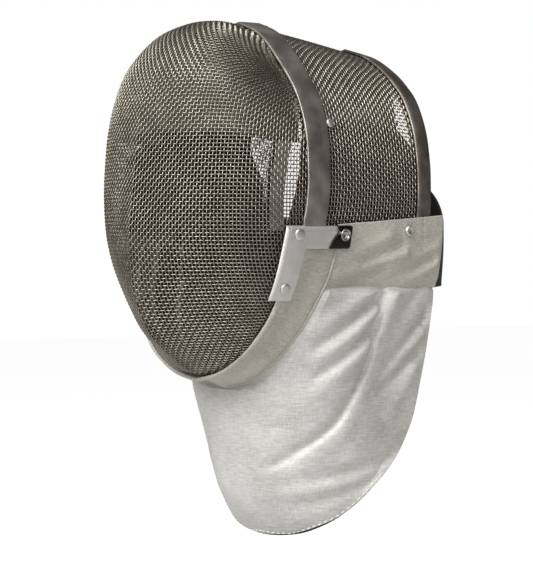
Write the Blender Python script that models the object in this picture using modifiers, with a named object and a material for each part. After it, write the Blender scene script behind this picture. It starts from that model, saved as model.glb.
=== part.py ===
"""Sabre fencing mask, at real size, in metres.

+Z is up and -Y is forward, so the wearer's left is +X. The origin is the crown
seat: the middle of the crown pad's underside, where the top of the head sits.
The mask is a keeled front cage and a barrel-shaped rear cage of steel mesh, two
steel bands, an L-shaped ear bracket on each side, and a padded bib that hangs
from the front cage's lower rim.
"""

import math

import bmesh
import bpy

COLLECTION = "fencing_mask"

MM = 0.001
GAP = 0.4 * MM
MERGE = 0.00001

# Steel mesh: two crossed 1 mm wires make a wall 2 mm thick.
MESH_WALL = 2.0 * MM

# The front cage is lofted through these sections, crown to chin. Each runs from
# the rim, half a width out, to the keel on the centre line. Millimetres, apart
# from fullness, the exponent of the section's rounded corner, and crease, which
# sharpens the keel.
FRONT_COLUMNS = ("rim_x", "rim_y", "rim_z", "keel_y", "keel_z", "fullness", "crease")
FRONT_SECTIONS = (
    (0.0, 0.0, 9.5, 0.0, 9.5, 2.0, 0.06),
    (21.5, -0.8, 2.2, -41.0, 11.2, 2.7, 0.06),
    (36.5, -1.5, -7.0, -62.0, 7.2, 3.2, 0.06),
    (56.0, -3.0, -24.0, -81.5, -4.0, 3.3, 0.06),
    (78.0, -5.0, -47.0, -99.5, -28.0, 3.4, 0.08),
    (91.0, -6.8, -68.0, -109.5, -54.0, 3.5, 0.13),
    (98.8, -8.6, -89.0, -115.0, -81.0, 3.6, 0.17),
    (102.6, -10.4, -109.0, -118.0, -108.0, 3.6, 0.20),
    (104.6, -12.2, -130.0, -121.5, -137.0, 3.4, 0.23),
    (104.4, -16.0, -153.0, -124.0, -165.0, 3.0, 0.26),
    (101.5, -27.0, -178.0, -122.5, -189.0, 2.4, 0.28),
    (97.5, -36.0, -200.0, -120.0, -211.0, 1.8, 0.30),
    (91.0, -41.0, -219.0, -113.5, -229.0, 1.55, 0.30),
    (82.0, -43.5, -236.0, -103.5, -246.0, 1.45, 0.28),
    (66.0, -46.5, -255.0, -89.0, -260.0, 1.4, 0.25),
    (47.0, -49.5, -268.0, -76.0, -269.5, 1.45, 0.20),
    (26.0, -51.5, -277.0, -65.0, -277.0, 1.6, 0.20),
    (0.0, -52.5, -282.0, -52.5, -282.0, 1.8, 0.20),
)
RIM_FLAT = 12.0            # the cage runs straight forward from its rim, under the band
EAR_SECTION = 9.0          # the row where the band ends and the lower rim starts
ARCH_STEPS = 14            # rows above the ear, shared with the rear cage and the band
CHIN_STEPS = 12            # rows below the ear
FRONT_ACROSS = 11

# The rear cage's back edge, crown to ear, in millimetres.
REAR_COLUMNS = ("x", "y", "z")
REAR_EDGE = (
    (0.0, 119.0, -10.8),
    (24.0, 118.6, -17.2),
    (47.0, 118.0, -29.0),
    (62.5, 117.5, -40.3),
    (77.4, 116.8, -55.5),
    (89.9, 115.6, -80.0),
    (96.3, 114.2, -106.0),
    (98.0, 113.5, -122.0),
    (98.9, 112.7, -138.0),
    (98.4, 112.0, -153.0),
)
REAR_ACROSS = 5
TAIL_Z = -164.0 * MM       # the rear cage ends behind the side panel
TAIL_TUCK = 1.0 * MM
REAR_BULGE = 1.0 * MM

# Steel bands, bent from strip, lie outside the mesh.
BAND_THICK = 1.0 * MM
FRONT_BAND_WIDTH = 23.0 * MM
REAR_BAND_WIDTH = 16.0 * MM
REAR_LIP_WIDTH = 9.0 * MM
BAND_END_Z = -171.0 * MM
REAR_BAND_END_Z = -162.0 * MM
BAND_SEAT = 1.6 * MM
REAR_BAND_THICK = 1.0 * MM
FOLD_THICK = 0.9 * MM

# Cloth walls: the bib, its side panels and the rim binding are padded.
BINDING_THICK = 2.4 * MM
PANEL_THICK = 2.6 * MM
BIB_THICK = 3.0 * MM
LINING_THICK = 1.4 * MM

# The binding runs along the lower rim, from the bracket to the chin. Its front
# edge laps the mesh and its rear edge is the seam that carries the bib. Flare is
# how far the seam stands out, and tuck how far the front edge leans in.
BINDING_COLUMNS = ("x", "front_y", "seam_y", "z", "flare", "tuck")
BINDING_SECTIONS = (
    (102.6, -33.0, 8.0, -172.5, 0.0, 0.0),
    (98.0, -42.0, 2.5, -198.0, 0.4, 0.2),
    (91.5, -46.5, -5.5, -218.5, 1.0, 0.4),
    (82.5, -50.0, -12.0, -236.0, 2.0, 0.5),
    (66.5, -54.0, -18.0, -255.0, 3.0, 0.6),
    (47.5, -56.0, -21.0, -268.5, 4.2, 0.6),
    (26.5, -57.0, -22.5, -277.6, 6.2, 0.6),
    (0.0, -57.5, -25.0, -282.6, 7.2, 0.4),
)
BINDING_SEAT = 0.6
BINDING_SWELL = 0.5
BINDING_STEPS = 18
BINDING_ACROSS = 4

# The side panel covers the rear cage's lower edge, from the seam to the back.
PANEL_COLUMNS = ("z_front", "z_rear", "rear_y", "x_front", "x_rear")
PANEL_ROWS = (
    (-157.0, -149.0, 124.5, 105.0, 101.8),
    (-168.0, -163.5, 124.2, 103.8, 101.7),
    (-180.0, -178.0, 123.4, 101.6, 101.2),
    (-195.0, -194.0, 122.2, 99.4, 99.8),
    (-209.6, -209.6, 120.8, 96.6, 98.0),
)
PANEL_STEPS = 6
PANEL_ACROSS = 7
PANEL_SWELL = 1.2
PANEL_PUFF = 1.6

# Level rings of the bib, in millimetres. front_y is where the ring would cross
# the centre line, widest_y is where it is half_width out, and rear_y is at the
# free edge. fullness is the exponent of its rounded front. A ring above the chin
# starts at the binding's seam.
BIB_COLUMNS = ("z_front", "z_rear", "front_y", "widest_y", "half_width", "rear_y", "fullness")
BIB_LEVELS = (
    (-210.0, -210.0, -92.0, 50.0, 99.0, 119.4, 2.35),
    (-220.5, -220.0, -79.0, 50.0, 99.5, 118.6, 2.35),
    (-239.0, -239.0, -58.0, 50.0, 98.5, 116.2, 2.35),
    (-258.0, -257.0, -43.0, 50.0, 96.5, 114.4, 2.35),
    (-272.5, -272.0, -32.0, 50.0, 94.5, 112.8, 2.35),
    (-284.0, -283.0, -27.0, 50.0, 93.0, 111.4, 2.35),
    (-293.6, -293.0, -24.5, 50.0, 91.5, 110.0, 2.4),
    (-302.0, -302.0, -23.0, 52.0, 90.5, 108.6, 2.4),
    (-322.0, -322.0, -20.0, 60.0, 89.5, 102.4, 2.3),
    (-350.0, -350.0, -15.0, 70.0, 88.8, 86.0, 2.2),
    (-375.0, -375.0, -9.0, 80.0, 88.0, 61.5, 2.15),
    (-395.0, -395.0, 0.5, 90.0, 87.0, 41.5, 2.15),
    (-408.0, -407.5, 9.0, 97.0, 86.0, 26.5, 2.15),
    (-416.5, -414.3, 16.0, 100.0, 85.0, 21.0, 2.1),
)
CHIN_LEVEL = 6             # the first ring that crosses the centre line
BIB_STEPS_ABOVE = 9
BIB_STEPS_BELOW = 11
BIB_ACROSS = 13
LINING_STEPS_ABOVE = 5
LINING_STEPS_BELOW = 7
LINING_ACROSS = 8
LINING_CLEAR = 0.6
DEEPEST_FOLD = 4.0
HEM_ROWS = 1.5             # levels above the hem over which the relief fades out
SEAM_CLEAR = 0.6
RING_SAMPLES = 48

# A curved quilting seam crosses the bib, and its folds fall from the side
# panel. Each fold is a ridge from a top point to a bottom point, in the side
# view's y and z. Millimetres.
QUILT_COLUMNS = ("y", "z")
QUILT_SEAM = (
    (-60.0, -356.0),
    (-20.0, -351.0),
    (5.0, -337.0),
    (28.0, -312.0),
    (47.0, -278.0),
    (58.0, -245.0),
    (72.0, -211.0),
)
QUILT_DEPTH = 3.0
QUILT_WIDTH = 7.0
QUILT_SWELL = 3.0
FOLD_COLUMNS = ("top_y", "top_z", "bottom_y", "bottom_z", "width", "height")
BIB_FOLDS = (
    (66.0, -212.0, 10.0, -246.0, 9.0, 3.0),
    (64.0, -226.0, 6.0, -272.0, 9.0, -3.0),
    (60.0, -246.0, 0.0, -292.0, 10.0, 3.0),
    (108.0, -214.0, 78.0, -270.0, 9.0, -3.5),
    (112.0, -240.0, 80.0, -300.0, 10.0, 3.0),
    (100.0, -282.0, 66.0, -336.0, 10.0, -2.5),
    (40.0, -360.0, -10.0, -380.0, 10.0, -2.5),
)

# Pads inside the cage.
PAD_THICK = 6.5 * MM
FOREHEAD_CLEAR = 1.3 * MM
CROWN_CLEAR = 0.6 * MM
SIDE_CLEAR = 0.7 * MM
FOREHEAD_TOP = 0.55
FOREHEAD_BOTTOM = 6.05
# The padding is one loose liner that sits twisted, so its ears differ.
SIDE_PAD_COLUMNS = ("z", "fall", "front_y", "rear_y")
SIDE_PAD_ROWS = {
    "left": (
        (-62.0, 9.0, -15.0, 91.0),
        (-73.0, 4.0, -17.0, 87.5),
        (-85.0, 0.0, -19.0, 94.0),
        (-96.0, 0.0, -24.0, 102.0),
        (-114.0, 0.0, -27.0, 103.0),
        (-137.0, 0.0, -33.5, 102.0),
        (-158.0, 0.0, -42.0, 101.0),
    ),
    "right": (
        (-62.0, 7.0, -15.0, 76.0),
        (-73.0, 3.0, -17.0, 73.0),
        (-85.0, 0.0, -19.0, 72.5),
        (-96.0, 0.0, -29.0, 77.0),
        (-114.0, 0.0, -43.0, 88.5),
        (-137.0, 0.0, -46.0, 94.0),
        (-158.0, 0.0, -50.0, 98.0),
    ),
}
SIDE_PAD_STEPS = 9
SIDE_PAD_ACROSS = 6
CROWN_PAD_REAR = 0.86
CROWN_PAD_CUT = 0.12
CROWN_PAD_END = 0.50

# The elastic strap behind the head: its ends are sewn inside the side panels.
STRAP_THICK = 3.0 * MM
STRAP_SEWN_Y = 98.0
STRAP_END_Y = 113.0
STRAP_REACH = 42.0
STRAP_SQUARENESS = 2.6
STRAP_TOP_Z = -116.0
STRAP_TOP_DROP = 51.0
STRAP_BOTTOM_Z = -211.0
STRAP_BOTTOM_RISE = 3.5
STRAP_LEAN = 0.035
STRAP_STEPS = 20

# Ear bracket: an L of 1.5 mm steel that follows the side of the mask. Its
# outline's corners are y and z in millimetres.
BRACKET_THICK = 1.5 * MM
BRACKET_STANDOFF = 4.2 * MM
BRACKET_TURN_Y = 42.0
BRACKET_TURN = 0.08
BRACKET_COLUMNS = ("outer_y", "outer_z", "inner_y", "inner_z", "steps")
BRACKET_LEG = (
    (-54.7, -218.0, -33.7, -218.4, 6),
    (-46.1, -158.0, -26.5, -176.6, 4),
    (4.7, -158.0, -2.8, -176.6, 0),
)
CLIP_COLUMNS = ("outer_y", "outer_z", "inner_y", "inner_z", "steps")
CLIP_LEG = (
    (5.2, -158.0, -2.3, -176.6, 3),
    (20.8, -158.0, 19.7, -176.6, 0),
)
CLIP_THICK = 2.2 * MM

# Round fasteners on the bracket: y, z, head radius, height, and the depth of
# the plate under the head. Millimetres.
FASTENER_COLUMNS = ("name", "y", "z", "radius", "height", "plate", "material")
FASTENERS = (
    ("bracket_rivet_upper", -34.2, -165.2, 4.6, 1.7, 1.5, "rivet_steel"),
    ("bracket_rivet_lower", -42.2, -208.9, 4.6, 1.7, 1.5, "rivet_steel"),
    ("clip_screw", 9.0, -165.0, 4.2, 2.2, 2.2, "screw_steel"),
)
SNAP_Y = 83.0
SNAP_Z = -162.0
SNAP_RADIUS = 4.6 * MM
SNAP_HEIGHT = 2.0 * MM
CAGE_RIVET_RADIUS = 3.6 * MM
CAGE_RIVET_HEIGHT = 1.8 * MM
CAGE_RIVET_ROW = 5.25
CAGE_RIVET_Y = 15.6 * MM

COLOURS = {
    "mesh_wire": ((0.42, 0.40, 0.36), 0.38, 1.0),
    "band_steel": ((0.30, 0.28, 0.26), 0.32, 1.0),
    "bracket_steel": ((0.62, 0.61, 0.58), 0.28, 1.0),
    "rivet_steel": ((0.66, 0.65, 0.62), 0.25, 1.0),
    "screw_steel": ((0.45, 0.44, 0.42), 0.25, 1.0),
    "clip_plastic": ((0.02, 0.02, 0.02), 0.30, 0.0),
    "binding_cloth": ((0.60, 0.59, 0.53), 0.75, 0.0),
    "bib_cloth": ((0.72, 0.71, 0.67), 0.70, 0.0),
    "lining_cloth": ((0.03, 0.03, 0.03), 0.90, 0.0),
    "pad_foam": ((0.16, 0.15, 0.13), 0.95, 0.0),
    "pad_cloth": ((0.03, 0.03, 0.03), 0.95, 0.0),
    "strap_elastic": ((0.02, 0.02, 0.02), 0.80, 0.0),
}


# ---------------------------------------------------------------- tables

def smooth(values, t):
    """Read a smooth curve through the values at row number t."""
    last = len(values) - 1
    low = min(max(int(math.floor(t)), 0), last - 1)
    f = t - low
    p1 = values[low]
    p2 = values[low + 1]
    p0 = values[low - 1] if low > 0 else 2 * p1 - p2
    p3 = values[low + 2] if low + 2 <= last else 2 * p2 - p1
    rise = p2 - p1
    start = limited_slope(p1 - p0, rise)
    end = limited_slope(rise, p3 - p2)
    f2 = f * f
    f3 = f2 * f
    return (p1 * (2 * f3 - 3 * f2 + 1) + start * (f3 - 2 * f2 + f)
            + p2 * (3 * f2 - 2 * f3) + end * (f3 - f2))


def limited_slope(before, after):
    """Mean of two neighbouring rises, eased where one is far the smaller."""
    mean = (before + after) / 2
    if before * after <= 0:
        return mean / 2
    limit = 3 * min(abs(before), abs(after))
    return math.copysign(min(abs(mean), limit), mean)


def read_row(rows, columns, t):
    """The table's columns at row number t, by name."""
    return {name: smooth([row[i] for row in rows], t) for i, name in enumerate(columns)}


def spread(count, start, end):
    """Evenly spaced numbers from start to end."""
    return [start + (end - start) * i / count for i in range(count + 1)]


# ---------------------------------------------------------------- objects

def clear_scene():
    for obj in list(bpy.data.objects):
        bpy.data.objects.remove(obj, do_unlink=True)


def new_collection():
    collection = bpy.data.collections.new(COLLECTION)
    bpy.context.scene.collection.children.link(collection)
    return collection


def new_material(name):
    colour, roughness, metallic = COLOURS[name]
    material = bpy.data.materials.get(name)
    if material:
        return material
    material = bpy.data.materials.new(name)
    material.use_nodes = True
    shader = material.node_tree.nodes["Principled BSDF"]
    shader.inputs["Base Color"].default_value = (*colour, 1.0)
    shader.inputs["Roughness"].default_value = roughness
    shader.inputs["Metallic"].default_value = metallic
    return material


def add_object(name, bm, collection, material):
    """Turn a bmesh into a named object in the mask's collection."""
    bmesh.ops.remove_doubles(bm, verts=bm.verts, dist=MERGE)
    mesh = bpy.data.meshes.new(name)
    bm.to_mesh(mesh)
    bm.free()
    mesh.shade_smooth()
    mesh.materials.append(new_material(material))
    obj = bpy.data.objects.new(name, mesh)
    collection.objects.link(obj)
    return obj


def loft(rows):
    """Open surface through rows of points, or closed ones where a row repeats."""
    bm = bmesh.new()
    grid = [[bm.verts.new(point) for point in row] for row in rows]
    for upper, lower in zip(grid, grid[1:]):
        for i in range(len(upper) - 1):
            bm.faces.new((upper[i], lower[i], lower[i + 1], upper[i + 1]))
    return bm


def mirror(obj):
    """Complete a half that is open at the centre plane."""
    modifier = obj.modifiers.new("mirror", "MIRROR")
    modifier.use_axis = (True, False, False)
    modifier.use_mirror_merge = True
    modifier.merge_threshold = 0.0001


def solidify(obj, thickness, inward=0.0):
    """Give a surface a wall on its inner side, after moving it inward."""
    if inward:
        shift = obj.modifiers.new("seat", "DISPLACE")
        shift.direction = "NORMAL"
        shift.mid_level = 0.0
        shift.strength = -inward
    modifier = obj.modifiers.new("wall", "SOLIDIFY")
    modifier.thickness = thickness
    modifier.offset = -1.0
    modifier.use_even_offset = False


def strip(points, section, leans):
    """Sweep a closed section of (y, outward) corners along an arch in x and z.

    At each point the section leans outward by lean for each metre forward.
    """
    bm = bmesh.new()
    rings = []
    for i, ((x, y, z), lean) in enumerate(zip(points, leans)):
        out_x, out_z = arch_normal(points, i)
        ring = []
        for across, out in section:
            stand = out - lean * across
            ring.append(bm.verts.new((x + stand * out_x, y + across, z + stand * out_z)))
        rings.append(ring)
    count = len(section)
    for upper, lower in zip(rings, rings[1:]):
        for i in range(count):
            j = (i + 1) % count
            bm.faces.new((upper[i], upper[j], lower[j], lower[i]))
    bm.faces.new(rings[0])
    bm.faces.new(list(reversed(rings[-1])))
    bmesh.ops.recalc_face_normals(bm, faces=bm.faces)
    return bm


def arch_normal(points, i):
    """Outward direction (x, z) of an arch that runs over the top towards +X."""
    before = points[max(i - 1, 0)]
    after = points[min(i + 1, len(points) - 1)]
    dx = after[0] - before[0]
    dz = after[2] - before[2]
    length = math.hypot(dx, dz)
    return -dz / length, dx / length


# ---------------------------------------------------------------- cages

def front_point(t, angle):
    """Point of the front cage on section t, from keel (0) to rim (90 degrees)."""
    row = read_row(FRONT_SECTIONS, FRONT_COLUMNS, t)
    side = math.sin(angle)
    forward = max(math.cos(angle), 0.0)
    reach = (side ** row["fullness"] + forward ** row["fullness"]) ** (1.0 / row["fullness"])
    side /= reach
    forward /= reach
    forward *= 1.0 - row["crease"] * side * forward
    flat = min(RIM_FLAT / max(row["rim_y"] - row["keel_y"], RIM_FLAT), 0.6)
    rise = max(forward - flat, 0.0) / (1.0 - flat)
    lift = rise * rise * (3.0 - 2.0 * rise)
    x = row["rim_x"] * side
    y = row["rim_y"] + (row["keel_y"] - row["rim_y"]) * forward
    z = row["rim_z"] + (row["keel_z"] - row["rim_z"]) * lift
    return (x * MM, y * MM, z * MM)


def front_rows(stations, across, last=90.0):
    """Rows of the front cage from the keel outward, one for each station."""
    angles = spread(across, 0.0, math.radians(last))
    return [[front_point(t, min(angle, math.pi / 2)) for angle in angles] for t in stations]


def arch_point(t):
    """Point of the front cage's rim above the ear, on the right-hand (+X) side."""
    row = read_row(FRONT_SECTIONS, FRONT_COLUMNS, t)
    return (row["rim_x"] * MM, row["rim_y"] * MM, row["rim_z"] * MM)


def side_x(z):
    """Half-width of the rim at a height below the crown, in metres."""
    low = 1.0
    high = float(len(FRONT_SECTIONS) - 1)
    for _ in range(40):
        middle = (low + high) / 2
        if arch_point(middle)[2] > z:
            low = middle
        else:
            high = middle
    return arch_point(low)[0]


def rear_point(t, u):
    """Point of the rear cage: t is crown (0) to ear (1), u band (0) to back (1)."""
    front = arch_point(t * EAR_SECTION)
    back = read_row(REAR_EDGE, REAR_COLUMNS, t * (len(REAR_EDGE) - 1))
    swell = REAR_BULGE * math.sin(math.pi * u)
    lean = math.sin(t * math.pi / 2)
    start_y = front[1] + 0.5 * MM
    x = front[0] + (back["x"] * MM - front[0]) * u + swell * lean * min(t * 6, 1.0)
    y = start_y + (back["y"] * MM - start_y) * u
    z = front[2] + (back["z"] * MM - front[2]) * u + swell * (1.0 - lean)
    return (x, y, z)


def build_front_mesh(collection):
    last = len(FRONT_SECTIONS) - 1.0
    stations = spread(ARCH_STEPS, 0.0, EAR_SECTION) + spread(CHIN_STEPS, EAR_SECTION, last)[1:]
    rows = front_rows(stations, FRONT_ACROSS)
    obj = add_object("front_mesh", loft(rows), collection, "mesh_wire")
    mirror(obj)
    solidify(obj, MESH_WALL)


def build_rear_mesh(collection):
    rear_stop = 1.0 - 2.6 * MM / (119.0 * MM)
    rows = []
    for t in spread(ARCH_STEPS, 0.0, 1.0):
        rows.append([rear_point(t, u) for u in spread(REAR_ACROSS, 0.0, rear_stop)])
    tail = [(x - TAIL_TUCK, y, TAIL_Z) for x, y, _ in rows[-1]]
    rows.append(tail)
    obj = add_object("rear_mesh", loft(rows), collection, "mesh_wire")
    mirror(obj)
    solidify(obj, MESH_WALL)


# ---------------------------------------------------------------- bands

def whole_arch(half):
    """Both sides of an arch whose first point is on the centre line."""
    left = [(-x, y, z) for x, y, z in reversed(half[1:])]
    return left + half


def build_front_band(collection):
    half = [arch_point(t) for t in spread(ARCH_STEPS, 0.0, EAR_SECTION)]
    x, y, _ = half[-1]
    half.append((side_x(BAND_END_Z), y, BAND_END_Z))
    edge = FRONT_BAND_WIDTH / 2
    soft = 0.35 * MM
    inner = BAND_SEAT
    outer = BAND_SEAT + BAND_THICK
    section = (
        (-edge, inner), (edge, inner), (edge, outer - soft), (edge - soft, outer),
        (soft - edge, outer), (-edge, outer - soft),
    )
    arch = whole_arch(half)
    add_object("front_band", strip(arch, section, [0.0] * len(arch)), collection, "band_steel")


def build_rear_band(collection):
    """A strip folded over the rear cage's back edge: a U that opens forward."""
    stations = spread(ARCH_STEPS, 0.0, 1.0)
    half = [rear_point(t, 1.0) for t in stations]
    leans = []
    for i, t in enumerate(stations):
        x, y, z = half[i]
        ahead = rear_point(t, 0.85)
        out_x, out_z = arch_normal(half, i) if i > 0 else (0.0, 1.0)
        leans.append(((ahead[0] - x) * out_x + (ahead[2] - z) * out_z) / (y - ahead[1]))
    x, y, _ = half[-1]
    half.append((x - TAIL_TUCK, y, REAR_BAND_END_Z))
    leans.append(leans[-1])
    front = 1.6 * MM - REAR_BAND_WIDTH
    lip = 1.6 * MM - REAR_LIP_WIDTH
    seat = BAND_SEAT
    outer = seat + REAR_BAND_THICK
    inside = -MESH_WALL - GAP
    bend = -0.6 * MM
    back = 1.6 * MM
    soft = 0.8 * MM
    section = (
        (front, outer), (front, seat), (bend, seat), (bend, inside), (lip, inside),
        (lip, inside - FOLD_THICK), (soft, inside - FOLD_THICK), (back, inside), (back, seat),
        (soft, outer),
    )
    arch = whole_arch(half)
    leans = list(reversed(leans[1:])) + leans
    add_object("rear_band", strip(arch, section, leans), collection, "band_steel")


# ---------------------------------------------------------------- bib

def binding_row(t):
    """Points across the binding's outer face, from its lap to its seam."""
    last = len(BINDING_SECTIONS) - 1
    row = read_row(BINDING_SECTIONS, BINDING_COLUMNS, t)
    ahead = read_row(BINDING_SECTIONS, BINDING_COLUMNS, min(t + 0.05, last))
    behind = read_row(BINDING_SECTIONS, BINDING_COLUMNS, max(t - 0.05, 0.0))
    dx = ahead["x"] - behind["x"]
    dz = ahead["z"] - behind["z"]
    length = math.hypot(dx, dz)
    out_x = 0.0 if t >= last else -dz / length
    out_z = -1.0 if t >= last else dx / length
    points = []
    for u in spread(BINDING_ACROSS, 0.0, 1.0):
        out = BINDING_THICK / MM + BINDING_SEAT + row["flare"] * u * u
        out += BINDING_SWELL * math.sin(math.pi * u) - row["tuck"] * (1.0 - u) ** 2
        y = row["front_y"] + (row["seam_y"] - row["front_y"]) * u
        points.append(((row["x"] + out * out_x) * MM, y * MM, (row["z"] + out * out_z) * MM))
    return points


def seam_y(z):
    """Where the binding's seam is at a height, in millimetres."""
    low = 0.0
    high = float(len(BINDING_SECTIONS) - 1)
    for _ in range(30):
        middle = (low + high) / 2
        if binding_row(middle)[-1][2] > z * MM:
            low = middle
        else:
            high = middle
    return binding_row(low)[-1][1] / MM


def build_binding(collection):
    """Padded strip along the lower rim, with a rolled front edge."""
    last = len(BINDING_SECTIONS) - 1
    rows = [binding_row(t) for t in spread(BINDING_STEPS, 0.0, last)]
    obj = add_object("rim_binding", loft(rows), collection, "binding_cloth")
    mirror(obj)
    solidify(obj, BINDING_THICK)


def panel_point(t, u):
    """Point of the left side panel's outer face, t down it and u towards the back."""
    last = len(PANEL_ROWS) - 1
    row = read_row(PANEL_ROWS, PANEL_COLUMNS, t)
    middle = math.sin(math.pi * u)
    out = PANEL_THICK / MM + PANEL_SWELL * middle + PANEL_PUFF * middle * math.sin(math.pi * t / last)
    x = row["x_front"] + (row["x_rear"] - row["x_front"]) * u + out
    front_y = seam_y(row["z_front"]) + 0.5
    y = front_y + (row["rear_y"] - front_y) * u
    z = row["z_front"] + (row["z_rear"] - row["z_front"]) * u
    return (x * MM, y * MM, z * MM)


def build_side_panel(collection, side, sign):
    last = len(PANEL_ROWS) - 1
    rows = []
    for t in spread(PANEL_STEPS, 0.0, last):
        points = [panel_point(t, u) for u in spread(PANEL_ACROSS, 0.0, 1.0)]
        points = [(sign * x, y, z) for x, y, z in points]
        rows.append(points if sign > 0 else list(reversed(points)))
    obj = add_object("side_panel_" + side, loft(rows), collection, "binding_cloth")
    solidify(obj, PANEL_THICK)


def ring_x(level, y):
    """Half-width of a bib ring at y, in millimetres."""
    widest = level["widest_y"]
    if y >= widest:
        return level["half_width"] - 1.6 * ((y - widest) / 70.0) ** 2
    reach = min((widest - y) / (widest - level["front_y"]), 1.0)
    power = level["fullness"]
    return level["half_width"] * (1.0 - reach ** power) ** (1.0 / power)


def ring_points(level, count, start):
    """Points evenly along a ring, from its start to its free rear edge."""
    samples = []
    for i in range(RING_SAMPLES + 1):
        f = (i / RING_SAMPLES) ** 2
        y = start + (level["rear_y"] - start) * f
        z = level["z_front"] + (level["z_rear"] - level["z_front"]) * f
        samples.append((ring_x(level, y), y, z))
    lengths = [0.0]
    for a, b in zip(samples, samples[1:]):
        lengths.append(lengths[-1] + math.dist(a, b))
    points = []
    k = 0
    for distance in spread(count, 0.0, lengths[-1]):
        while k < RING_SAMPLES - 1 and lengths[k + 1] < distance:
            k += 1
        f = (distance - lengths[k]) / (lengths[k + 1] - lengths[k])
        points.append(tuple(a + (b - a) * f for a, b in zip(samples[k], samples[k + 1])))
    return points


def segment_distance(y, z, fold):
    """Distance from a fold's line, and how far along the fold (0 to 1)."""
    dy = fold["bottom_y"] - fold["top_y"]
    dz = fold["bottom_z"] - fold["top_z"]
    along = ((y - fold["top_y"]) * dy + (z - fold["top_z"]) * dz) / (dy * dy + dz * dz)
    along = min(max(along, 0.0), 1.0)
    near_y = fold["top_y"] + dy * along
    near_z = fold["top_z"] + dz * along
    return math.hypot(y - near_y, z - near_z), along


def quilt_offset(y, z):
    """Signed distance above the quilting seam, in millimetres."""
    last = len(QUILT_SEAM) - 1
    best = 1000.0
    sign = 1.0
    for i in range(last):
        (y0, z0), (y1, z1) = QUILT_SEAM[i], QUILT_SEAM[i + 1]
        dy = y1 - y0
        dz = z1 - z0
        f = min(max(((y - y0) * dy + (z - z0) * dz) / (dy * dy + dz * dz), 0.0), 1.0)
        distance = math.hypot(y - y0 - dy * f, z - z0 - dz * f)
        if distance < best:
            best = distance
            sign = 1.0 if dy * (z - z0) - dz * (y - y0) > 0 else -1.0
    return sign * best


def relief(y, z):
    """How far the bib stands out from its rings, in millimetres."""
    offset = quilt_offset(y, z)
    height = -QUILT_DEPTH * math.exp(-(offset / QUILT_WIDTH) ** 2)
    if offset > 0:
        height += QUILT_SWELL * (1.0 - math.exp(-(offset / (3 * QUILT_WIDTH)) ** 2))
    for values in BIB_FOLDS:
        fold = dict(zip(FOLD_COLUMNS, values))
        distance, along = segment_distance(y, z, fold)
        height += fold["height"] * math.exp(-(distance / fold["width"]) ** 2) * (1.0 - 0.6 * along)
    top = max(min((BIB_LEVELS[0][0] - z) / 14.0, 1.0), 0.0)
    return max(height * top, -DEEPEST_FOLD)


def hem_fade(t):
    """From 1 over most of the bib to 0 along the hem."""
    last = len(BIB_LEVELS) - 1
    return min((last - t) / HEM_ROWS, 1.0)


def padded(t, y, z):
    return relief(y, z) * hem_fade(t)


def lining_depth(t, y, z):
    return -(BIB_THICK / MM + LINING_CLEAR + DEEPEST_FOLD * hem_fade(t))


def bib_rows(above, below, across, height):
    """Rings from the side panel's edge to the hem, height above the plain bib."""
    last = len(BIB_LEVELS) - 1
    rows = []
    for t in spread(above, 0.0, CHIN_LEVEL) + spread(below, CHIN_LEVEL, last)[1:]:
        level = read_row(BIB_LEVELS, BIB_COLUMNS, t)
        from_seam = t < CHIN_LEVEL
        start = seam_y(level["z_front"]) + SEAM_CLEAR if from_seam else level["front_y"]
        points = []
        for i, (x, y, z) in enumerate(ring_points(level, across, start)):
            out = height(t, y, z)
            if i == 0 and from_seam:
                out = min(out, 0.0)
            reach_x = min(x / level["half_width"], 1.0)
            reach_y = -math.sqrt(1.0 - reach_x * reach_x)
            grown_x = 0.0 if i == 0 and not from_seam else x + out * reach_x
            points.append((grown_x * MM, (y + out * reach_y) * MM, z * MM))
        rows.append(points)
    return rows


def build_bib(collection):
    rows = bib_rows(BIB_STEPS_ABOVE, BIB_STEPS_BELOW, BIB_ACROSS, padded)
    obj = add_object("bib", loft(rows), collection, "bib_cloth")
    mirror(obj)
    solidify(obj, BIB_THICK)
    rows = bib_rows(LINING_STEPS_ABOVE, LINING_STEPS_BELOW, LINING_ACROSS, lining_depth)
    lining = add_object("bib_lining", loft(rows), collection, "lining_cloth")
    mirror(lining)
    solidify(lining, LINING_THICK)


# ---------------------------------------------------------------- pads, strap

def pad_surface(name, rows, collection, material, clear, mirrored):
    obj = add_object(name, loft(rows), collection, material)
    if mirrored:
        mirror(obj)
    solidify(obj, PAD_THICK, inward=MESH_WALL + clear)


def build_forehead_pad(collection):
    """Foam across the brow, inside the front cage, down to a level edge."""
    rows = front_rows(spread(8, FOREHEAD_TOP, FOREHEAD_BOTTOM), across=8, last=78.0)
    pad_surface("forehead_pad", rows, collection, "pad_foam", FOREHEAD_CLEAR, mirrored=True)


def build_crown_pad(collection):
    rows = []
    for t in spread(6, 0.0, CROWN_PAD_END):
        rear = CROWN_PAD_REAR - CROWN_PAD_CUT * (t / CROWN_PAD_END) ** 4
        rows.append([rear_point(t, u) for u in spread(3, 0.0, rear)])
    pad_surface("crown_pad", rows, collection, "pad_foam", CROWN_CLEAR, mirrored=True)


def cage_x(y, z):
    """Half-width of the cages' outer face at y and z, in metres."""
    low = 0.0
    high = 1.0
    for _ in range(24):
        middle = (low + high) / 2
        front = rear_point(middle, 0.0)
        back = rear_point(middle, 1.0)
        u = min(max((y - front[1]) / (back[1] - front[1]), 0.0), 1.0)
        if rear_point(middle, u)[2] > z:
            low = middle
        else:
            high = middle
    return rear_point(low, u)[0]


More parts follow.
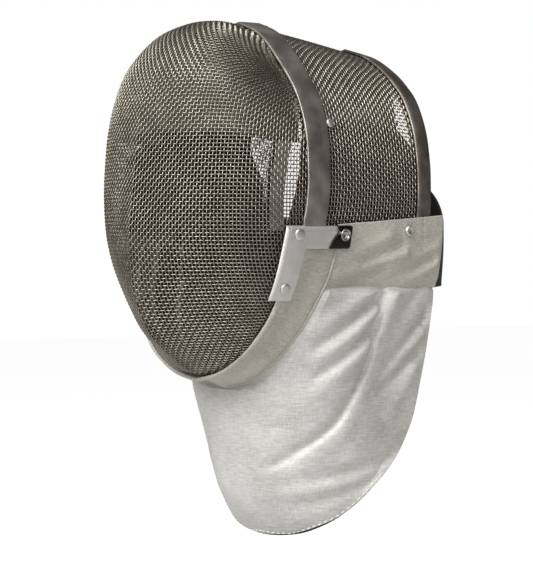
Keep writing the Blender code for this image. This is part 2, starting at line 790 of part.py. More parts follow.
def build_side_pad(collection, side, sign):
    """Black pad at the ear, inside both cages."""
    table = SIDE_PAD_ROWS[side]
    rows = []
    for t in spread(SIDE_PAD_STEPS, 0.0, len(table) - 1):
        row = read_row(table, SIDE_PAD_COLUMNS, t)
        points = []
        for u in spread(SIDE_PAD_ACROSS, 0.0, 1.0):
            y = row["front_y"] + (row["rear_y"] - row["front_y"]) * u
            z = row["z"] - row["fall"] * u
            lean = max(-y - 30.0, 0.0) * 0.10 * MM
            points.append((sign * (cage_x(y * MM, z * MM) - lean), y * MM, z * MM))
        rows.append(points if sign > 0 else list(reversed(points)))
    pad_surface("side_pad_" + side, rows, collection, "pad_cloth", SIDE_CLEAR, mirrored=False)


def strap_x(y, z):
    """Half-width between the side panels' inner faces, in millimetres."""
    last = len(PANEL_ROWS) - 1
    low = 0.0
    high = float(last)
    for _ in range(30):
        middle = (low + high) / 2
        if panel_point(middle, 1.0)[2] > z * MM:
            low = middle
        else:
            high = middle
    front = panel_point(low, 0.0)
    rear = panel_point(low, 1.0)
    u = min((y * MM - front[1]) / (rear[1] - front[1]), 1.0)
    return panel_point(low, u)[0] / MM - PANEL_THICK / MM - 0.8


def build_strap(collection):
    """Contoured elastic behind the head, taller in the middle."""
    power = 2.0 / STRAP_SQUARENESS
    stations = [(-1.0, STRAP_SEWN_Y)]
    for angle in spread(STRAP_STEPS, -90.0, 90.0):
        side = math.sin(math.radians(angle))
        back = max(math.cos(math.radians(angle)), 0.0)
        across = math.copysign(abs(side) ** power, side)
        stations.append((across, STRAP_END_Y + STRAP_REACH * back ** power))
    stations.append((1.0, STRAP_SEWN_Y))
    rows = []
    for across, y in stations:
        end = abs(across) ** 3
        top = STRAP_TOP_Z - STRAP_TOP_DROP * end
        bottom = STRAP_BOTTOM_Z + STRAP_BOTTOM_RISE * end
        row = []
        for u in spread(3, 0.0, 1.0):
            z = top + (bottom - top) * u
            half = strap_x(min(y, STRAP_END_Y), min(max(z, -205.0), -168.0))
            lean = STRAP_LEAN * (1.0 - u) * max(y - STRAP_END_Y, 0.0)
            row.append((across * half * MM, (y - lean) * MM, z * MM))
        rows.append(row)
    obj = add_object("back_strap", loft(rows), collection, "strap_elastic")
    solidify(obj, STRAP_THICK)


# ---------------------------------------------------------------- ear bracket

def wrapped_leg(legs, columns, sign, standoff, across=3):
    """Rows of a plate that follows the mask's side, from a table of corners."""
    rows = []
    for first, second in zip(legs, legs[1:]):
        a = dict(zip(columns, first))
        b = dict(zip(columns, second))
        for i in range(a["steps"]):
            rows.append((a, b, i / a["steps"]))
    rows.append((dict(zip(columns, legs[-2])), dict(zip(columns, legs[-1])), 1.0))
    surface = []
    for a, b, f in rows:
        corner = {key: a[key] + (b[key] - a[key]) * f for key in columns}
        points = []
        for u in spread(across, 0.0, 1.0):
            y = corner["outer_y"] + (corner["inner_y"] - corner["outer_y"]) * u
            z = corner["outer_z"] + (corner["inner_z"] - corner["outer_z"]) * u
            turn = max(-y - BRACKET_TURN_Y, 0.0) * BRACKET_TURN * MM
            x = side_x(z * MM) + standoff - turn
            points.append((sign * x, y * MM, z * MM))
        surface.append(list(reversed(points)) if sign > 0 else points)
    return surface


def build_plate(name, rows, thickness, collection, material):
    obj = add_object(name, loft(rows), collection, material)
    solidify(obj, thickness)
    bevel = obj.modifiers.new("edges", "BEVEL")
    bevel.width = 0.35 * MM
    bevel.segments = 1
    bevel.limit_method = "ANGLE"
    bevel.angle_limit = math.radians(50.0)


def build_bracket(collection, side, sign):
    rows = wrapped_leg(BRACKET_LEG, BRACKET_COLUMNS, sign, BRACKET_STANDOFF + BRACKET_THICK)
    build_plate("ear_bracket_" + side, rows, BRACKET_THICK, collection, "bracket_steel")
    rows = wrapped_leg(CLIP_LEG, CLIP_COLUMNS, sign, BRACKET_STANDOFF + CLIP_THICK)
    build_plate("bracket_clip_" + side, rows, CLIP_THICK, collection, "clip_plastic")


# ---------------------------------------------------------------- fasteners

def dome_head(radius, height, sides=12):
    """A low round head, flat under, with its axis along +Z."""
    bm = bmesh.new()
    rings = []
    for share, rise in ((1.0, 0.0), (1.0, 0.35), (0.86, 0.75), (0.5, 0.97)):
        ring = []
        for i in range(sides):
            angle = 2 * math.pi * i / sides
            ring.append(bm.verts.new((radius * share * math.cos(angle),
                                      radius * share * math.sin(angle), height * rise)))
        rings.append(ring)
    for lower, upper in zip(rings, rings[1:]):
        for i in range(sides):
            j = (i + 1) % sides
            bm.faces.new((lower[i], lower[j], upper[j], upper[i]))
    bm.faces.new(list(reversed(rings[0])))
    bm.faces.new(rings[-1])
    return bm


def build_fasteners(collection, side, sign):
    for values in FASTENERS:
        item = dict(zip(FASTENER_COLUMNS, values))
        bm = dome_head(item["radius"] * MM, item["height"] * MM)
        obj = add_object(item["name"] + "_" + side, bm, collection, item["material"])
        z = item["z"] * MM
        rise = side_x(z + 4.0 * MM) - side_x(z - 4.0 * MM)
        tilt = math.atan2(rise, 8.0 * MM)
        turn = max(-item["y"] - BRACKET_TURN_Y, 0.0) * BRACKET_TURN * MM
        stand = BRACKET_STANDOFF + item["plate"] * MM + GAP + 0.3 * MM
        obj.location = (sign * (side_x(z) + stand - turn), item["y"] * MM, z)
        obj.rotation_euler = (0.0, sign * (math.pi / 2 + tilt), 0.0)


def build_snap(collection, side, sign):
    """Snap stud near the top edge of a side panel."""
    rows = spread(40, 0.0, 1.0)
    t = min(rows, key=lambda row: abs(panel_point(row, 0.65)[2] - SNAP_Z * MM))
    u = min(rows, key=lambda part: abs(panel_point(t, part)[1] - SNAP_Y * MM))
    x, y, z = panel_point(t, u)
    bm = dome_head(SNAP_RADIUS, SNAP_HEIGHT)
    obj = add_object("panel_snap_" + side, bm, collection, "rivet_steel")
    obj.location = (sign * (x + GAP + 0.2 * MM), y, z)
    obj.rotation_euler = (0.0, sign * math.pi / 2, 0.0)


def build_cage_rivet(collection, name, t, sign):
    """Rivet just behind the front band, through the rear cage."""
    share = CAGE_RIVET_Y / (REAR_EDGE[0][1] * MM)
    x, y, z = rear_point(t / EAR_SECTION, share)
    above = rear_point(max(t - 0.1, 0.0) / EAR_SECTION, share)
    below = rear_point((t + 0.1) / EAR_SECTION, share)
    tilt = 0.0 if t == 0.0 else math.atan2(above[2] - below[2], below[0] - above[0])
    bm = dome_head(CAGE_RIVET_RADIUS, CAGE_RIVET_HEIGHT, sides=12)
    obj = add_object(name, bm, collection, "rivet_steel")
    stand = GAP + 0.3 * MM
    obj.location = (sign * (x + stand * math.sin(tilt)), y, z + stand * math.cos(tilt))
    obj.rotation_euler = (0.0, sign * tilt, 0.0)


def build():
    clear_scene()
    collection = new_collection()
    build_front_mesh(collection)
    build_rear_mesh(collection)
    build_front_band(collection)
    build_rear_band(collection)
    build_binding(collection)
    build_bib(collection)
    build_forehead_pad(collection)
    build_crown_pad(collection)
    build_strap(collection)
    for side, sign in (("left", 1), ("right", -1)):
        build_side_panel(collection, side, sign)
        build_side_pad(collection, side, sign)
        build_bracket(collection, side, sign)
        build_fasteners(collection, side, sign)
        build_snap(collection, side, sign)
        build_cage_rivet(collection, "cage_rivet_" + side, CAGE_RIVET_ROW, sign)
    build_cage_rivet(collection, "cage_rivet_crown", 0.0, 1)


build()
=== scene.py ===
"""Looks of a sabre fencing mask, dressed around its packed construction model.

Everything is in metres, +Z up and -Y forward, with the wearer's left at +X. The
origin is the crown seat. Driving sizes stand in millimetres in named tables.
"""

from __future__ import annotations

import logging
import math
from dataclasses import dataclass
from enum import Enum

import bpy
import numpy as np
from mathutils import Matrix, Vector
from mathutils.bvhtree import BVHTree
from mathutils import noise

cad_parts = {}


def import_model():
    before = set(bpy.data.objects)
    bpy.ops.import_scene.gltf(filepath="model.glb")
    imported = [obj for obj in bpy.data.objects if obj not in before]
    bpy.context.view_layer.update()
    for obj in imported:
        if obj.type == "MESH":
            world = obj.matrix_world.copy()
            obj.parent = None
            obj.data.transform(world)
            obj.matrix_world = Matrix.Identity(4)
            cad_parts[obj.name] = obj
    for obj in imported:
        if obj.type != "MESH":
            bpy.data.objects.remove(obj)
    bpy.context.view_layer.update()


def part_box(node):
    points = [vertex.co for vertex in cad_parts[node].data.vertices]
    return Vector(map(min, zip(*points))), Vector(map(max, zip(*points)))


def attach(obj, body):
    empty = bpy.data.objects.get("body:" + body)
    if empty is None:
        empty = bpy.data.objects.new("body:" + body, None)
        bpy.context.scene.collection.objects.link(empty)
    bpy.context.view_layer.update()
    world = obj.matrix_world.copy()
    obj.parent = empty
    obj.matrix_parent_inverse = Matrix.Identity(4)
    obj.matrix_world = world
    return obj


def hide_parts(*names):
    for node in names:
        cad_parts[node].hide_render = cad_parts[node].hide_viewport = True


LOG = logging.getLogger("fencing_mask")
MM = 0.001
BODY = "root"
Point = tuple[float, float, float]
Array = np.ndarray
Runs = list[tuple[Array, Array]]
Piece = bpy.types.Object
Material = bpy.types.Material
NodeTree = bpy.types.NodeTree


class Side(Enum):
    """Which side of the wearer a piece is on, with the sign of its X."""

    LEFT = 1
    RIGHT = -1

    @property
    def word(self) -> str:
        """The side as it stands in a node's name."""
        return self.name.lower()


class Way(Enum):
    """Which way a wire of the net runs."""

    ACROSS = 0
    DOWN = 1


# ---- tables


def limited_slope(before: float, after: float) -> float:
    """Mean of two neighbouring rises, eased where one is far the smaller.

    Args:
        before: Rise into the point.
        after: Rise out of the point.

    Returns:
        The slope of a smooth curve at the point.
    """
    mean = (before + after) / 2
    if before * after <= 0:
        return mean / 2
    limit = 3 * min(abs(before), abs(after))
    return math.copysign(min(abs(mean), limit), mean)


def smooth(values: list[float], t: float) -> float:
    """Read a smooth curve through some values.

    Args:
        values: The values, one for each row.
        t: Row number, which may lie between two rows.

    Returns:
        The curve's value there.
    """
    last = len(values) - 1
    low = min(max(int(math.floor(t)), 0), last - 1)
    f = t - low
    p1, p2 = values[low], values[low + 1]
    p0 = values[low - 1] if low > 0 else 2 * p1 - p2
    p3 = values[low + 2] if low + 2 <= last else 2 * p2 - p1
    start = limited_slope(p1 - p0, p2 - p1)
    end = limited_slope(p2 - p1, p3 - p2)
    f2, f3 = f * f, f * f * f
    return p1 * (2 * f3 - 3 * f2 + 1) + start * (f3 - 2 * f2 + f) + p2 * (3 * f2 - 2 * f3) + end * (f3 - f2)


@dataclass(frozen=True)
class Table:
    """Driving sizes in named columns, a row for each section."""

    columns: tuple[str, ...]
    rows: tuple[tuple[float, ...], ...]

    @property
    def last(self) -> float:
        """Number of the last row."""
        return float(len(self.rows) - 1)

    def at(self, t: float) -> dict[str, float]:
        """Read every column at a row number.

        Args:
            t: Row number, which may lie between two rows.

        Returns:
            The columns by name.
        """
        return {name: smooth([row[i] for row in self.rows], t) for i, name in enumerate(self.columns)}


FRONT_CAGE = Table(
    ("rim_x", "rim_y", "rim_z", "keel_y", "keel_z", "fullness", "crease"), (
        (0, 0, 9.5, 0, 9.5, 2, 0.06),
        (21.5, -0.8, 2.2, -41, 11.2, 2.7, 0.06),
        (36.5, -1.5, -7, -62, 7.2, 3.2, 0.06),
        (56, -3, -24, -81.5, -4, 3.3, 0.06),
        (78, -5, -47, -99.5, -28, 3.4, 0.08),
        (91, -6.8, -68, -109.5, -54, 3.5, 0.13),
        (98.8, -8.6, -89, -115, -81, 3.6, 0.17),
        (102.6, -10.4, -109, -118, -108, 3.6, 0.20),
        (104.6, -12.2, -130, -121.5, -137, 3.4, 0.23),
        (104.4, -16, -153, -124, -165, 3, 0.26),
        (101.5, -27, -178, -122.5, -189, 2.4, 0.28),
        (97.5, -36, -200, -120, -211, 1.8, 0.30),
        (91, -41, -219, -113.5, -229, 1.55, 0.30),
        (82, -43.5, -236, -103.5, -246, 1.45, 0.28),
        (66, -46.5, -255, -89, -260, 1.4, 0.25),
        (47, -49.5, -268, -76, -269.5, 1.45, 0.20),
        (26, -51.5, -277, -65, -277, 1.6, 0.20),
        (0, -52.5, -282, -52.5, -282, 1.8, 0.20),
    ))
EAR_ROW = 9.0
MIDDLE_ROW = 7.0
RIM_FLAT = 12.0

REAR_EDGE = Table(
    ("x", "y", "z"), (
        (0, 119, -10.8),
        (24, 118.6, -17.2),
        (47, 118, -29),
        (62.5, 117.5, -40.3),
        (77.4, 116.8, -55.5),
        (89.9, 115.6, -80),
        (96.3, 114.2, -106),
        (98, 113.5, -122),
        (98.9, 112.7, -138),
        (98.4, 112, -153),
    ))
REAR_BULGE = 1.0
TAIL_Z = -164.0
TAIL_TUCK = 1.0

BINDING = Table(
    ("x", "front_y", "seam_y", "z", "flare", "tuck"), (
        (102.6, -33, 8, -172.5, 0, 0),
        (98, -42, 2.5, -198, 0.4, 0.2),
        (91.5, -46.5, -5.5, -218.5, 1, 0.4),
        (82.5, -50, -12, -236, 2, 0.5),
        (66.5, -54, -18, -255, 3, 0.6),
        (47.5, -56, -21, -268.5, 4.2, 0.6),
        (26.5, -57, -22.5, -277.6, 6.2, 0.6),
        (0, -57.5, -25, -282.6, 7.2, 0.4),
    ))
PANEL = Table(
    ("z_front", "z_rear", "rear_y", "x_front", "x_rear"), (
        (-157, -149, 124.5, 105, 101.8),
        (-168, -163.5, 124.2, 103.8, 101.7),
        (-180, -178, 123.4, 101.6, 101.2),
        (-195, -194, 122.2, 99.4, 99.8),
        (-209.6, -209.6, 120.8, 96.6, 98),
    ))
BIB = Table(
    ("z_front", "z_rear", "front_y", "widest_y", "half_width", "rear_y", "fullness"), (
        (-210, -210, -92, 50, 99, 119.4, 2.35),
        (-220.5, -220, -79, 50, 99.5, 118.6, 2.35),
        (-239, -239, -58, 50, 98.5, 116.2, 2.35),
        (-258, -257, -43, 50, 96.5, 114.4, 2.35),
        (-272.5, -272, -32, 50, 94.5, 112.8, 2.35),
        (-284, -283, -27, 50, 93, 111.4, 2.35),
        (-293.6, -293, -24.5, 50, 91.5, 110, 2.4),
        (-302, -302, -23, 52, 90.5, 108.6, 2.4),
        (-322, -322, -20, 60, 89.5, 102.4, 2.3),
        (-350, -350, -15, 70, 88.8, 86, 2.2),
        (-375, -375, -9, 80, 88, 61.5, 2.15),
        (-395, -395, 0.5, 90, 87, 41.5, 2.15),
        (-408, -407.5, 9, 97, 86, 26.5, 2.15),
        (-416.5, -414.3, 16, 100, 85, 21, 2.1),
    ))
CHIN_LEVEL = 6.0

QUILT = Table(
    ("y", "z"), (
        (-60, -366),
        (-30, -365),
        (-10.5, -360),
        (4.9, -342),
        (24.5, -321.5),
        (34.8, -304.2),
        (42.5, -289.8),
        (49.3, -273.4),
        (53.6, -256),
        (57, -240),
        (62, -217.3),
        (65.7, -206.7),
    ))


# ---- meshes


def spread(count: int, start: float, end: float) -> list[float]:
    """Evenly spaced numbers.

    Args:
        count: Number of steps.
        start: First number.
        end: Last number.

    Returns:
        One more number than steps.
    """
    return [start + (end - start) * i / count for i in range(count + 1)]


def arc_lengths(points: Array, axis: int) -> Array:
    """Length along a grid's lines from their start.

    Args:
        points: Grid of points, rows by columns by three.
        axis: 0 to measure down the columns, 1 along the rows.

    Returns:
        Grid of lengths in metres.
    """
    steps = np.linalg.norm(np.diff(points, axis=axis), axis=2)
    total = np.cumsum(steps, axis=axis)
    zero = np.zeros_like(total[:1] if axis == 0 else total[:, :1])
    return np.concatenate([zero, total], axis=axis)


def path_lengths(line: Array) -> Array:
    """Length along a line of points, from its start to each point."""
    return np.concatenate([[0.0], np.cumsum(np.linalg.norm(np.diff(line, axis=0), axis=1))])


def points_along(line: Array, at: Array | float, values: Array | None = None) -> Array:
    """Points at some lengths along a line.

    Args:
        line: Points of the line.
        at: The lengths, or one length.
        values: What to read there instead, three numbers for each point of the line.

    Returns:
        Three numbers for each length.
    """
    lengths = path_lengths(line)
    source = line if values is None else values
    return np.stack([np.interp(at, lengths, source[:, k]) for k in range(3)], axis=-1)


def round_wire(line: Array, out: Array, radius: float, sides: int) -> Array:
    """Rings of points round a line, to be skinned as a wire or a cord.

    Args:
        line: Points of the centre line.
        out: Where the rings start: one direction, or one for each point.
        radius: In metres.
        sides: Number of points in a ring.

    Returns:
        Grid of points, a row for each ring.
    """
    along = np.gradient(line, axis=0)
    along /= np.linalg.norm(along, axis=1, keepdims=True)
    aside = np.cross(along, out)
    aside /= np.linalg.norm(aside, axis=1, keepdims=True)
    up = np.cross(aside, along)
    angles = np.arange(sides) * 2 * math.pi / sides
    ring = up[:, None] * np.cos(angles)[None, :, None] + aside[:, None] * np.sin(angles)[None, :, None]
    return line[:, None] + ring * radius


def without_spares(points: Array, faces: Array) -> tuple[Array, list]:
    """Drop the points that no face uses.

    Args:
        points: Rows of x, y, z.
        faces: Rows of point numbers.

    Returns:
        The points that stay, and the faces with their new numbers.
    """
    used = np.zeros(len(points), bool)
    used[np.unique(faces)] = True
    return points[used], (np.cumsum(used) - 1)[faces].tolist()


def numbered(shape: tuple[int, ...]) -> Array:
    """Point numbers of a grid of this shape, row by row."""
    return np.arange(shape[0] * shape[1]).reshape(shape[:2])


def cells(grid: Array) -> Array:
    """The four corners of each cell of a grid, in the order that makes its face point outward.

    Args:
        grid: Grid of point numbers, or of coordinates with a last axis of their own.

    Returns:
        A row of four for each cell.
    """
    corners = np.stack([grid[:-1, :-1], grid[1:, :-1], grid[1:, 1:], grid[:-1, 1:]], axis=2)
    return corners.reshape(-1, 4, *grid.shape[2:])


def grid_normals(points: Array) -> Array:
    """Outward unit normals of a grid whose rows run down its outer face.

    Args:
        points: Grid of points, rows by columns by three.

    Returns:
        Grid of unit vectors.
    """
    down = np.gradient(points, axis=0)
    along = np.gradient(points, axis=1)
    normals = np.cross(down, along)
    return normals / np.maximum(np.linalg.norm(normals, axis=2, keepdims=True), 1e-12)


def make_object(name: str, points: Array, faces: list,
                uvs: Array | None = None) -> Piece:
    """Make a smooth-shaded object from points and faces.

    Args:
        name: The piece's name.
        points: Points, any shape that ends in three.
        faces: Faces as lists of point numbers.
        uvs: Cloth or strip coordinates in metres for each face corner, if it has them.

    Returns:
        The new object, linked to the scene.
    """
    mesh = bpy.data.meshes.new(name)
    mesh.from_pydata(points.reshape(-1, 3).tolist(), [], faces)
    if uvs is not None:
        layer = mesh.uv_layers.new(name="metres")
        full = np.zeros((len(mesh.loops), 2), np.float32)
        full[: len(uvs)] = uvs
        layer.data.foreach_set("uv", full.ravel())
    mesh.validate()
    mesh.shade_smooth()
    piece = bpy.data.objects.new(name, mesh)
    bpy.context.scene.collection.objects.link(piece)
    return piece


def grid_object(name: str, points: Array, wrap: bool = False) -> Piece:
    """Make a surface from a grid of points, with coordinates in metres along it.

    Args:
        name: The piece's name.
        points: Grid of points, rows by columns by three.
        wrap: Whether each row closes on itself, which also caps both ends.

    Returns:
        The new object.
    """
    ids = numbered(points.shape)
    spots = points
    if wrap:
        ids = np.concatenate([ids, ids[:, :1]], axis=1)
        spots = np.concatenate([points, points[:, :1]], axis=1)
    uv = np.stack([arc_lengths(spots, 1), arc_lengths(spots, 0)], axis=2)
    faces = cells(ids).tolist()
    if wrap:
        faces.append(ids[0, :-1].tolist())
        faces.append(ids[-1, :-1][::-1].tolist())
    return make_object(name, points, faces, cells(uv).reshape(-1, 2))


def add_modifier(piece: Piece, kind: str, **settings: object) -> None:
    """Add a modifier to a piece.

    Args:
        piece: The object.
        kind: Blender's name of the modifier's type.
        settings: Values of the modifier's properties.
    """
    modifier = piece.modifiers.new(kind.lower(), kind)
    for key, value in settings.items():
        setattr(modifier, key, value)


def thicken(piece: Piece, thickness: float, edge: float, lined: bool = False) -> None:
    """Give a surface a wall on its inner side, with rounded edges.

    Args:
        piece: The surface.
        thickness: Wall in metres.
        edge: Rounding of the rim in metres.
        lined: Whether the inner side takes the piece's second material.
    """
    add_modifier(piece, "SOLIDIFY", thickness=thickness, offset=-1.0, use_even_offset=False,
                 material_offset=1 if lined else 0)
    add_modifier(piece, "BEVEL", width=edge, segments=3, limit_method="ANGLE", angle_limit=math.radians(55))


def seat(piece: Piece, material: Material, slot: str, *nodes: str,
         lining: Material | None = None) -> None:
    """Dress a piece and let it ride on the mask.

    Args:
        piece: The finished piece.
        material: Its finish.
        slot: The record's material slot that the finish belongs to; not used.
        nodes: The construction nodes that it stands for.
        lining: Material of its inner side, if that has its own.
    """
    piece.data.materials.append(material)
    if lining is not None:
        piece.data.materials.append(lining)
    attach(piece, BODY)
    if nodes:
        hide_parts(*nodes)
    stands_for = ", ".join(nodes) or "nothing"
    LOG.info("%s: %d faces, stands for %s", piece.name, len(piece.data.polygons), stands_for)


# ---- finishes


def linear(code: str) -> tuple[float, float, float, float]:
    """Turn an sRGB hex colour to linear light.

    Args:
        code: Six hex digits.

    Returns:
        Linear red, green and blue, and alpha 1.
    """
    channels = [int(code[i:i + 2], 16) / 255 for i in (0, 2, 4)]
    light = [c / 12.92 if c <= 0.04045 else ((c + 0.055) / 1.055) ** 2.4 for c in channels]
    return (*light, 1.0)


def repeats(millimetres: float) -> float:
    """Scale of a pattern from its real size: how often it repeats in a metre."""
    return 1000.0 / millimetres


def feed(tree: NodeTree, node: bpy.types.Node, settings: dict, links: dict) -> None:
    """Set a node's values and link its sockets.

    Args:
        tree: The node tree.
        node: The node.
        settings: Values by property name, or by socket name or number.
        links: Sockets that feed the node, by its socket name or number.
    """
    for key, value in settings.items():
        if isinstance(key, str) and hasattr(node, key):
            setattr(node, key, value)
        else:
            node.inputs[key].default_value = value
    for key, socket in links.items():
        tree.links.new(socket, node.inputs[key])


def add_node(tree: NodeTree, kind: str, settings: dict | None = None,
             links: dict | None = None) -> bpy.types.Node:
    """Add one shader node.

    Args:
        tree: The node tree.
        kind: The node's type, without its ShaderNode prefix.
        settings: As for feed.
        links: As for feed.

    Returns:
        The new node.
    """
    node = tree.nodes.new("ShaderNode" + kind)
    feed(tree, node, settings or {}, links or {})
    return node


def new_material(name: str) -> tuple[Material, NodeTree, bpy.types.Node, bpy.types.NodeOutputs]:
    """Start a material with a single Principled shader.

    Args:
        name: The real material's name.

    Returns:
        The material, its node tree, its shader and its coordinates by name.
    """
    material = bpy.data.materials.new(name)
    material.use_nodes = True
    tree = material.node_tree
    return material, tree, tree.nodes["Principled BSDF"], add_node(tree, "TexCoord").outputs


def two_colours(tree: NodeTree, shares: bpy.types.NodeSocket, dark: str, light: str,
                low: float = 0.3, high: float = 0.7) -> bpy.types.NodeSocket:
    """Blend two colours by a pattern.

    Args:
        tree: The node tree.
        shares: The pattern, from 0 to 1.
        dark: Hex colour where the pattern is low.
        light: Hex colour where it is high.
        low: Pattern value that is fully dark.
        high: Pattern value that is fully light.

    Returns:
        The colour socket.
    """
    ramp = add_node(tree, "ValToRGB", links={"Fac": shares})
    stops = ramp.color_ramp.elements
    stops[0].position, stops[0].color = low, linear(dark)
    stops[1].position, stops[1].color = high, linear(light)
    return ramp.outputs["Color"]


@dataclass(frozen=True)
class DrawnWire:
    """Drawn stainless wire, woven bare: a hard thin glint on each crossing and a grey flank."""

    dark: str = "817b70"
    light: str = "9a9388"
    roughness: float = 0.3
    soil_mm: float = 14.0

    def build(self) -> Material:
        """Make the material.

        Returns:
            The new material.
        """
        material, tree, shader, place = new_material("drawn stainless wire")
        soil = add_node(tree, "TexNoise", {"Scale": repeats(self.soil_mm), "Detail": 4.0},
                        {"Vector": place["Object"]})
        colour = two_colours(tree, soil.outputs["Fac"], self.dark, self.light)
        feed(tree, shader, {"Metallic": 1.0, "Roughness": self.roughness}, {"Base Color": colour})
        return material


@dataclass(frozen=True)
class RolledStrip:
    """Cold-rolled steel strip, bent by hand: cloudy reflections, fine rolling lines and dull patches."""

    name: str
    dark: str
    light: str
    roughness: tuple[float, float]
    cloud_mm: float = 17.0
    line_mm: float = 0.5
    lines_a_metre: float = 30.0

    def build(self) -> Material:
        """Make the material.

        Returns:
            The new material.
        """
        material, tree, shader, place = new_material(self.name)
        cloud = add_node(tree, "TexNoise",
                         {"Scale": repeats(self.cloud_mm), "Detail": 3.0, "Roughness": 0.45},
                         {"Vector": place["Object"]}).outputs["Fac"]
        along = add_node(tree, "Mapping", {"Scale": (self.lines_a_metre, repeats(self.line_mm), 1.0)},
                         {"Vector": place["UV"]})
        lines = add_node(tree, "TexNoise", {"Scale": 1.0, "Detail": 2.0}, {"Vector": along.outputs["Vector"]})
        colour = two_colours(tree, cloud, self.dark, self.light, 0.38, 0.66)
        gloss = add_node(tree, "MapRange", {3: self.roughness[0], 4: self.roughness[1]}, {"Value": cloud})
        wave = add_node(tree, "Bump", {"Strength": 0.2, "Distance": 1.2 * MM}, {"Height": cloud})
        grain = add_node(tree, "Bump", {"Strength": 0.06, "Distance": 0.15 * MM},
                         {"Height": lines.outputs["Fac"], "Normal": wave.outputs["Normal"]})
        feed(tree, shader, {"Metallic": 1.0}, {"Base Color": colour, "Roughness": gloss.outputs["Result"],
                                               "Normal": grain.outputs["Normal"]})
        return material


@dataclass(frozen=True)
class TumbledSteel:
    """Pressed and tumbled steel: an even satin with faint pits and soft bright edges."""

    name: str
    dark: str
    light: str
    roughness: float
    haze_mm: float = 11.0
    pit_mm: float = 0.7

    def build(self) -> Material:
        """Make the material.

        Returns:
            The new material.
        """
        material, tree, shader, place = new_material(self.name)
        here = {"Vector": place["Object"]}
        haze = add_node(tree, "TexNoise", {"Scale": repeats(self.haze_mm), "Detail": 5.0}, here)
        pits = add_node(tree, "TexNoise", {"Scale": repeats(self.pit_mm), "Detail": 2.0}, here)
        colour = two_colours(tree, haze.outputs["Fac"], self.dark, self.light)
        bump = add_node(tree, "Bump", {"Strength": 0.12, "Distance": 0.1 * MM},
                        {"Height": pits.outputs["Fac"]})
        feed(tree, shader, {"Metallic": 1.0, "Roughness": self.roughness},
             {"Base Color": colour, "Normal": bump.outputs["Normal"]})
        return material


@dataclass(frozen=True)
class ConductiveCloth:
    """Brocade woven with fine steel thread: matt, with a faint glint, slubs along the weft and a soft sheen.

    Threads lie about 0.4 mm apart, too fine to show, so the weave is drawn at slub scale.
    """

    name: str
    dark: str
    light: str
    thread_mm: float = 0.9
    slub_mm: float = 6.0
    fade_mm: float = 45.0
    glint: float = 0.18

    def build(self) -> Material:
        """Make the material.

        Returns:
            The new material.
        """
        material, tree, shader, place = new_material(self.name)
        thread, slub = repeats(self.thread_mm), repeats(self.slub_mm)
        flat = {"Vector": place["UV"]}
        weft_way = add_node(tree, "Mapping", {"Scale": (slub, thread, 1.0)}, flat)
        warp_way = add_node(tree, "Mapping", {"Scale": (thread, slub * 2, 1.0)}, flat)
        weft = add_node(tree, "TexNoise", {"Scale": 1.0, "Detail": 3.0, "Roughness": 0.6},
                        {"Vector": weft_way.outputs["Vector"]})
        warp = add_node(tree, "TexNoise", {"Scale": 1.0, "Detail": 2.0},
                        {"Vector": warp_way.outputs["Vector"]})
        fade = add_node(tree, "TexNoise", {"Scale": repeats(self.fade_mm), "Detail": 3.0},
                        {"Vector": place["Object"]})
        threads = add_node(tree, "Mix", {"data_type": "FLOAT", "Factor": 0.38},
                           {2: weft.outputs["Fac"], 3: warp.outputs["Fac"]})
        pattern = add_node(tree, "Mix", {"data_type": "FLOAT", "Factor": 0.3},
                           {2: threads.outputs[0], 3: fade.outputs["Fac"]})
        colour = two_colours(tree, pattern.outputs[0], self.dark, self.light, 0.36, 0.62)
        bump = add_node(tree, "Bump", {"Strength": 0.4, "Distance": 0.3 * MM}, {"Height": threads.outputs[0]})
        feed(tree, shader,
             {"Metallic": self.glint, "Roughness": 0.62, "Sheen Weight": 0.15, "Sheen Roughness": 0.4},
             {"Base Color": colour, "Normal": bump.outputs["Normal"]})
        return material


@dataclass(frozen=True)
class PlainCloth:
    """Plain-woven or knitted cloth over foam: matt, with a nap that catches a little light at its edges."""

    name: str
    dark: str
    light: str
    knit_mm: float = 1.2
    depth_mm: float = 0.25
    worn_mm: float = 17.0

    def build(self) -> Material:
        """Make the material.

        Returns:
            The new material.
        """
        material, tree, shader, place = new_material(self.name)
        here = {"Vector": place["Object"]}
        knit = add_node(tree, "TexVoronoi", {"Scale": repeats(self.knit_mm)}, here)
        worn = add_node(tree, "TexNoise", {"Scale": repeats(self.worn_mm), "Detail": 4.0}, here)
        colour = two_colours(tree, worn.outputs["Fac"], self.dark, self.light)
        bump = add_node(tree, "Bump", {"Strength": 0.5, "Distance": self.depth_mm * MM},
                        {"Height": knit.outputs["Distance"]})
        feed(tree, shader, {"Roughness": 0.9, "Sheen Weight": 0.2},
             {"Base Color": colour, "Normal": bump.outputs["Normal"]})
        return material


@dataclass(frozen=True)
class RibbedElastic:
    """Woven elastic: matt black, with broad soft ribs along its length.

    A wave texture turns 20 radians in each unit of its scale.
    """

    rib_mm: float = 13.8
    wave_turn: float = 20.0

    def build(self) -> Material:
        """Make the material.

        Returns:
            The new material.
        """
        material, tree, shader, place = new_material("woven elastic")
        scale = repeats(self.rib_mm) * 2 * math.pi / self.wave_turn
        ribs = add_node(tree, "TexWave", {"bands_direction": "X", "Scale": scale, "Distortion": 0.4},
                        {"Vector": place["UV"]})
        bump = add_node(tree, "Bump", {"Strength": 0.6, "Distance": 0.4 * MM},
                        {"Height": ribs.outputs["Fac"]})
        colour = two_colours(tree, ribs.outputs["Fac"], "060605", "100f0e", 0.1, 0.9)
        feed(tree, shader, {"Roughness": 0.85, "Sheen Weight": 0.06},
             {"Base Color": colour, "Normal": bump.outputs["Normal"]})
        return material


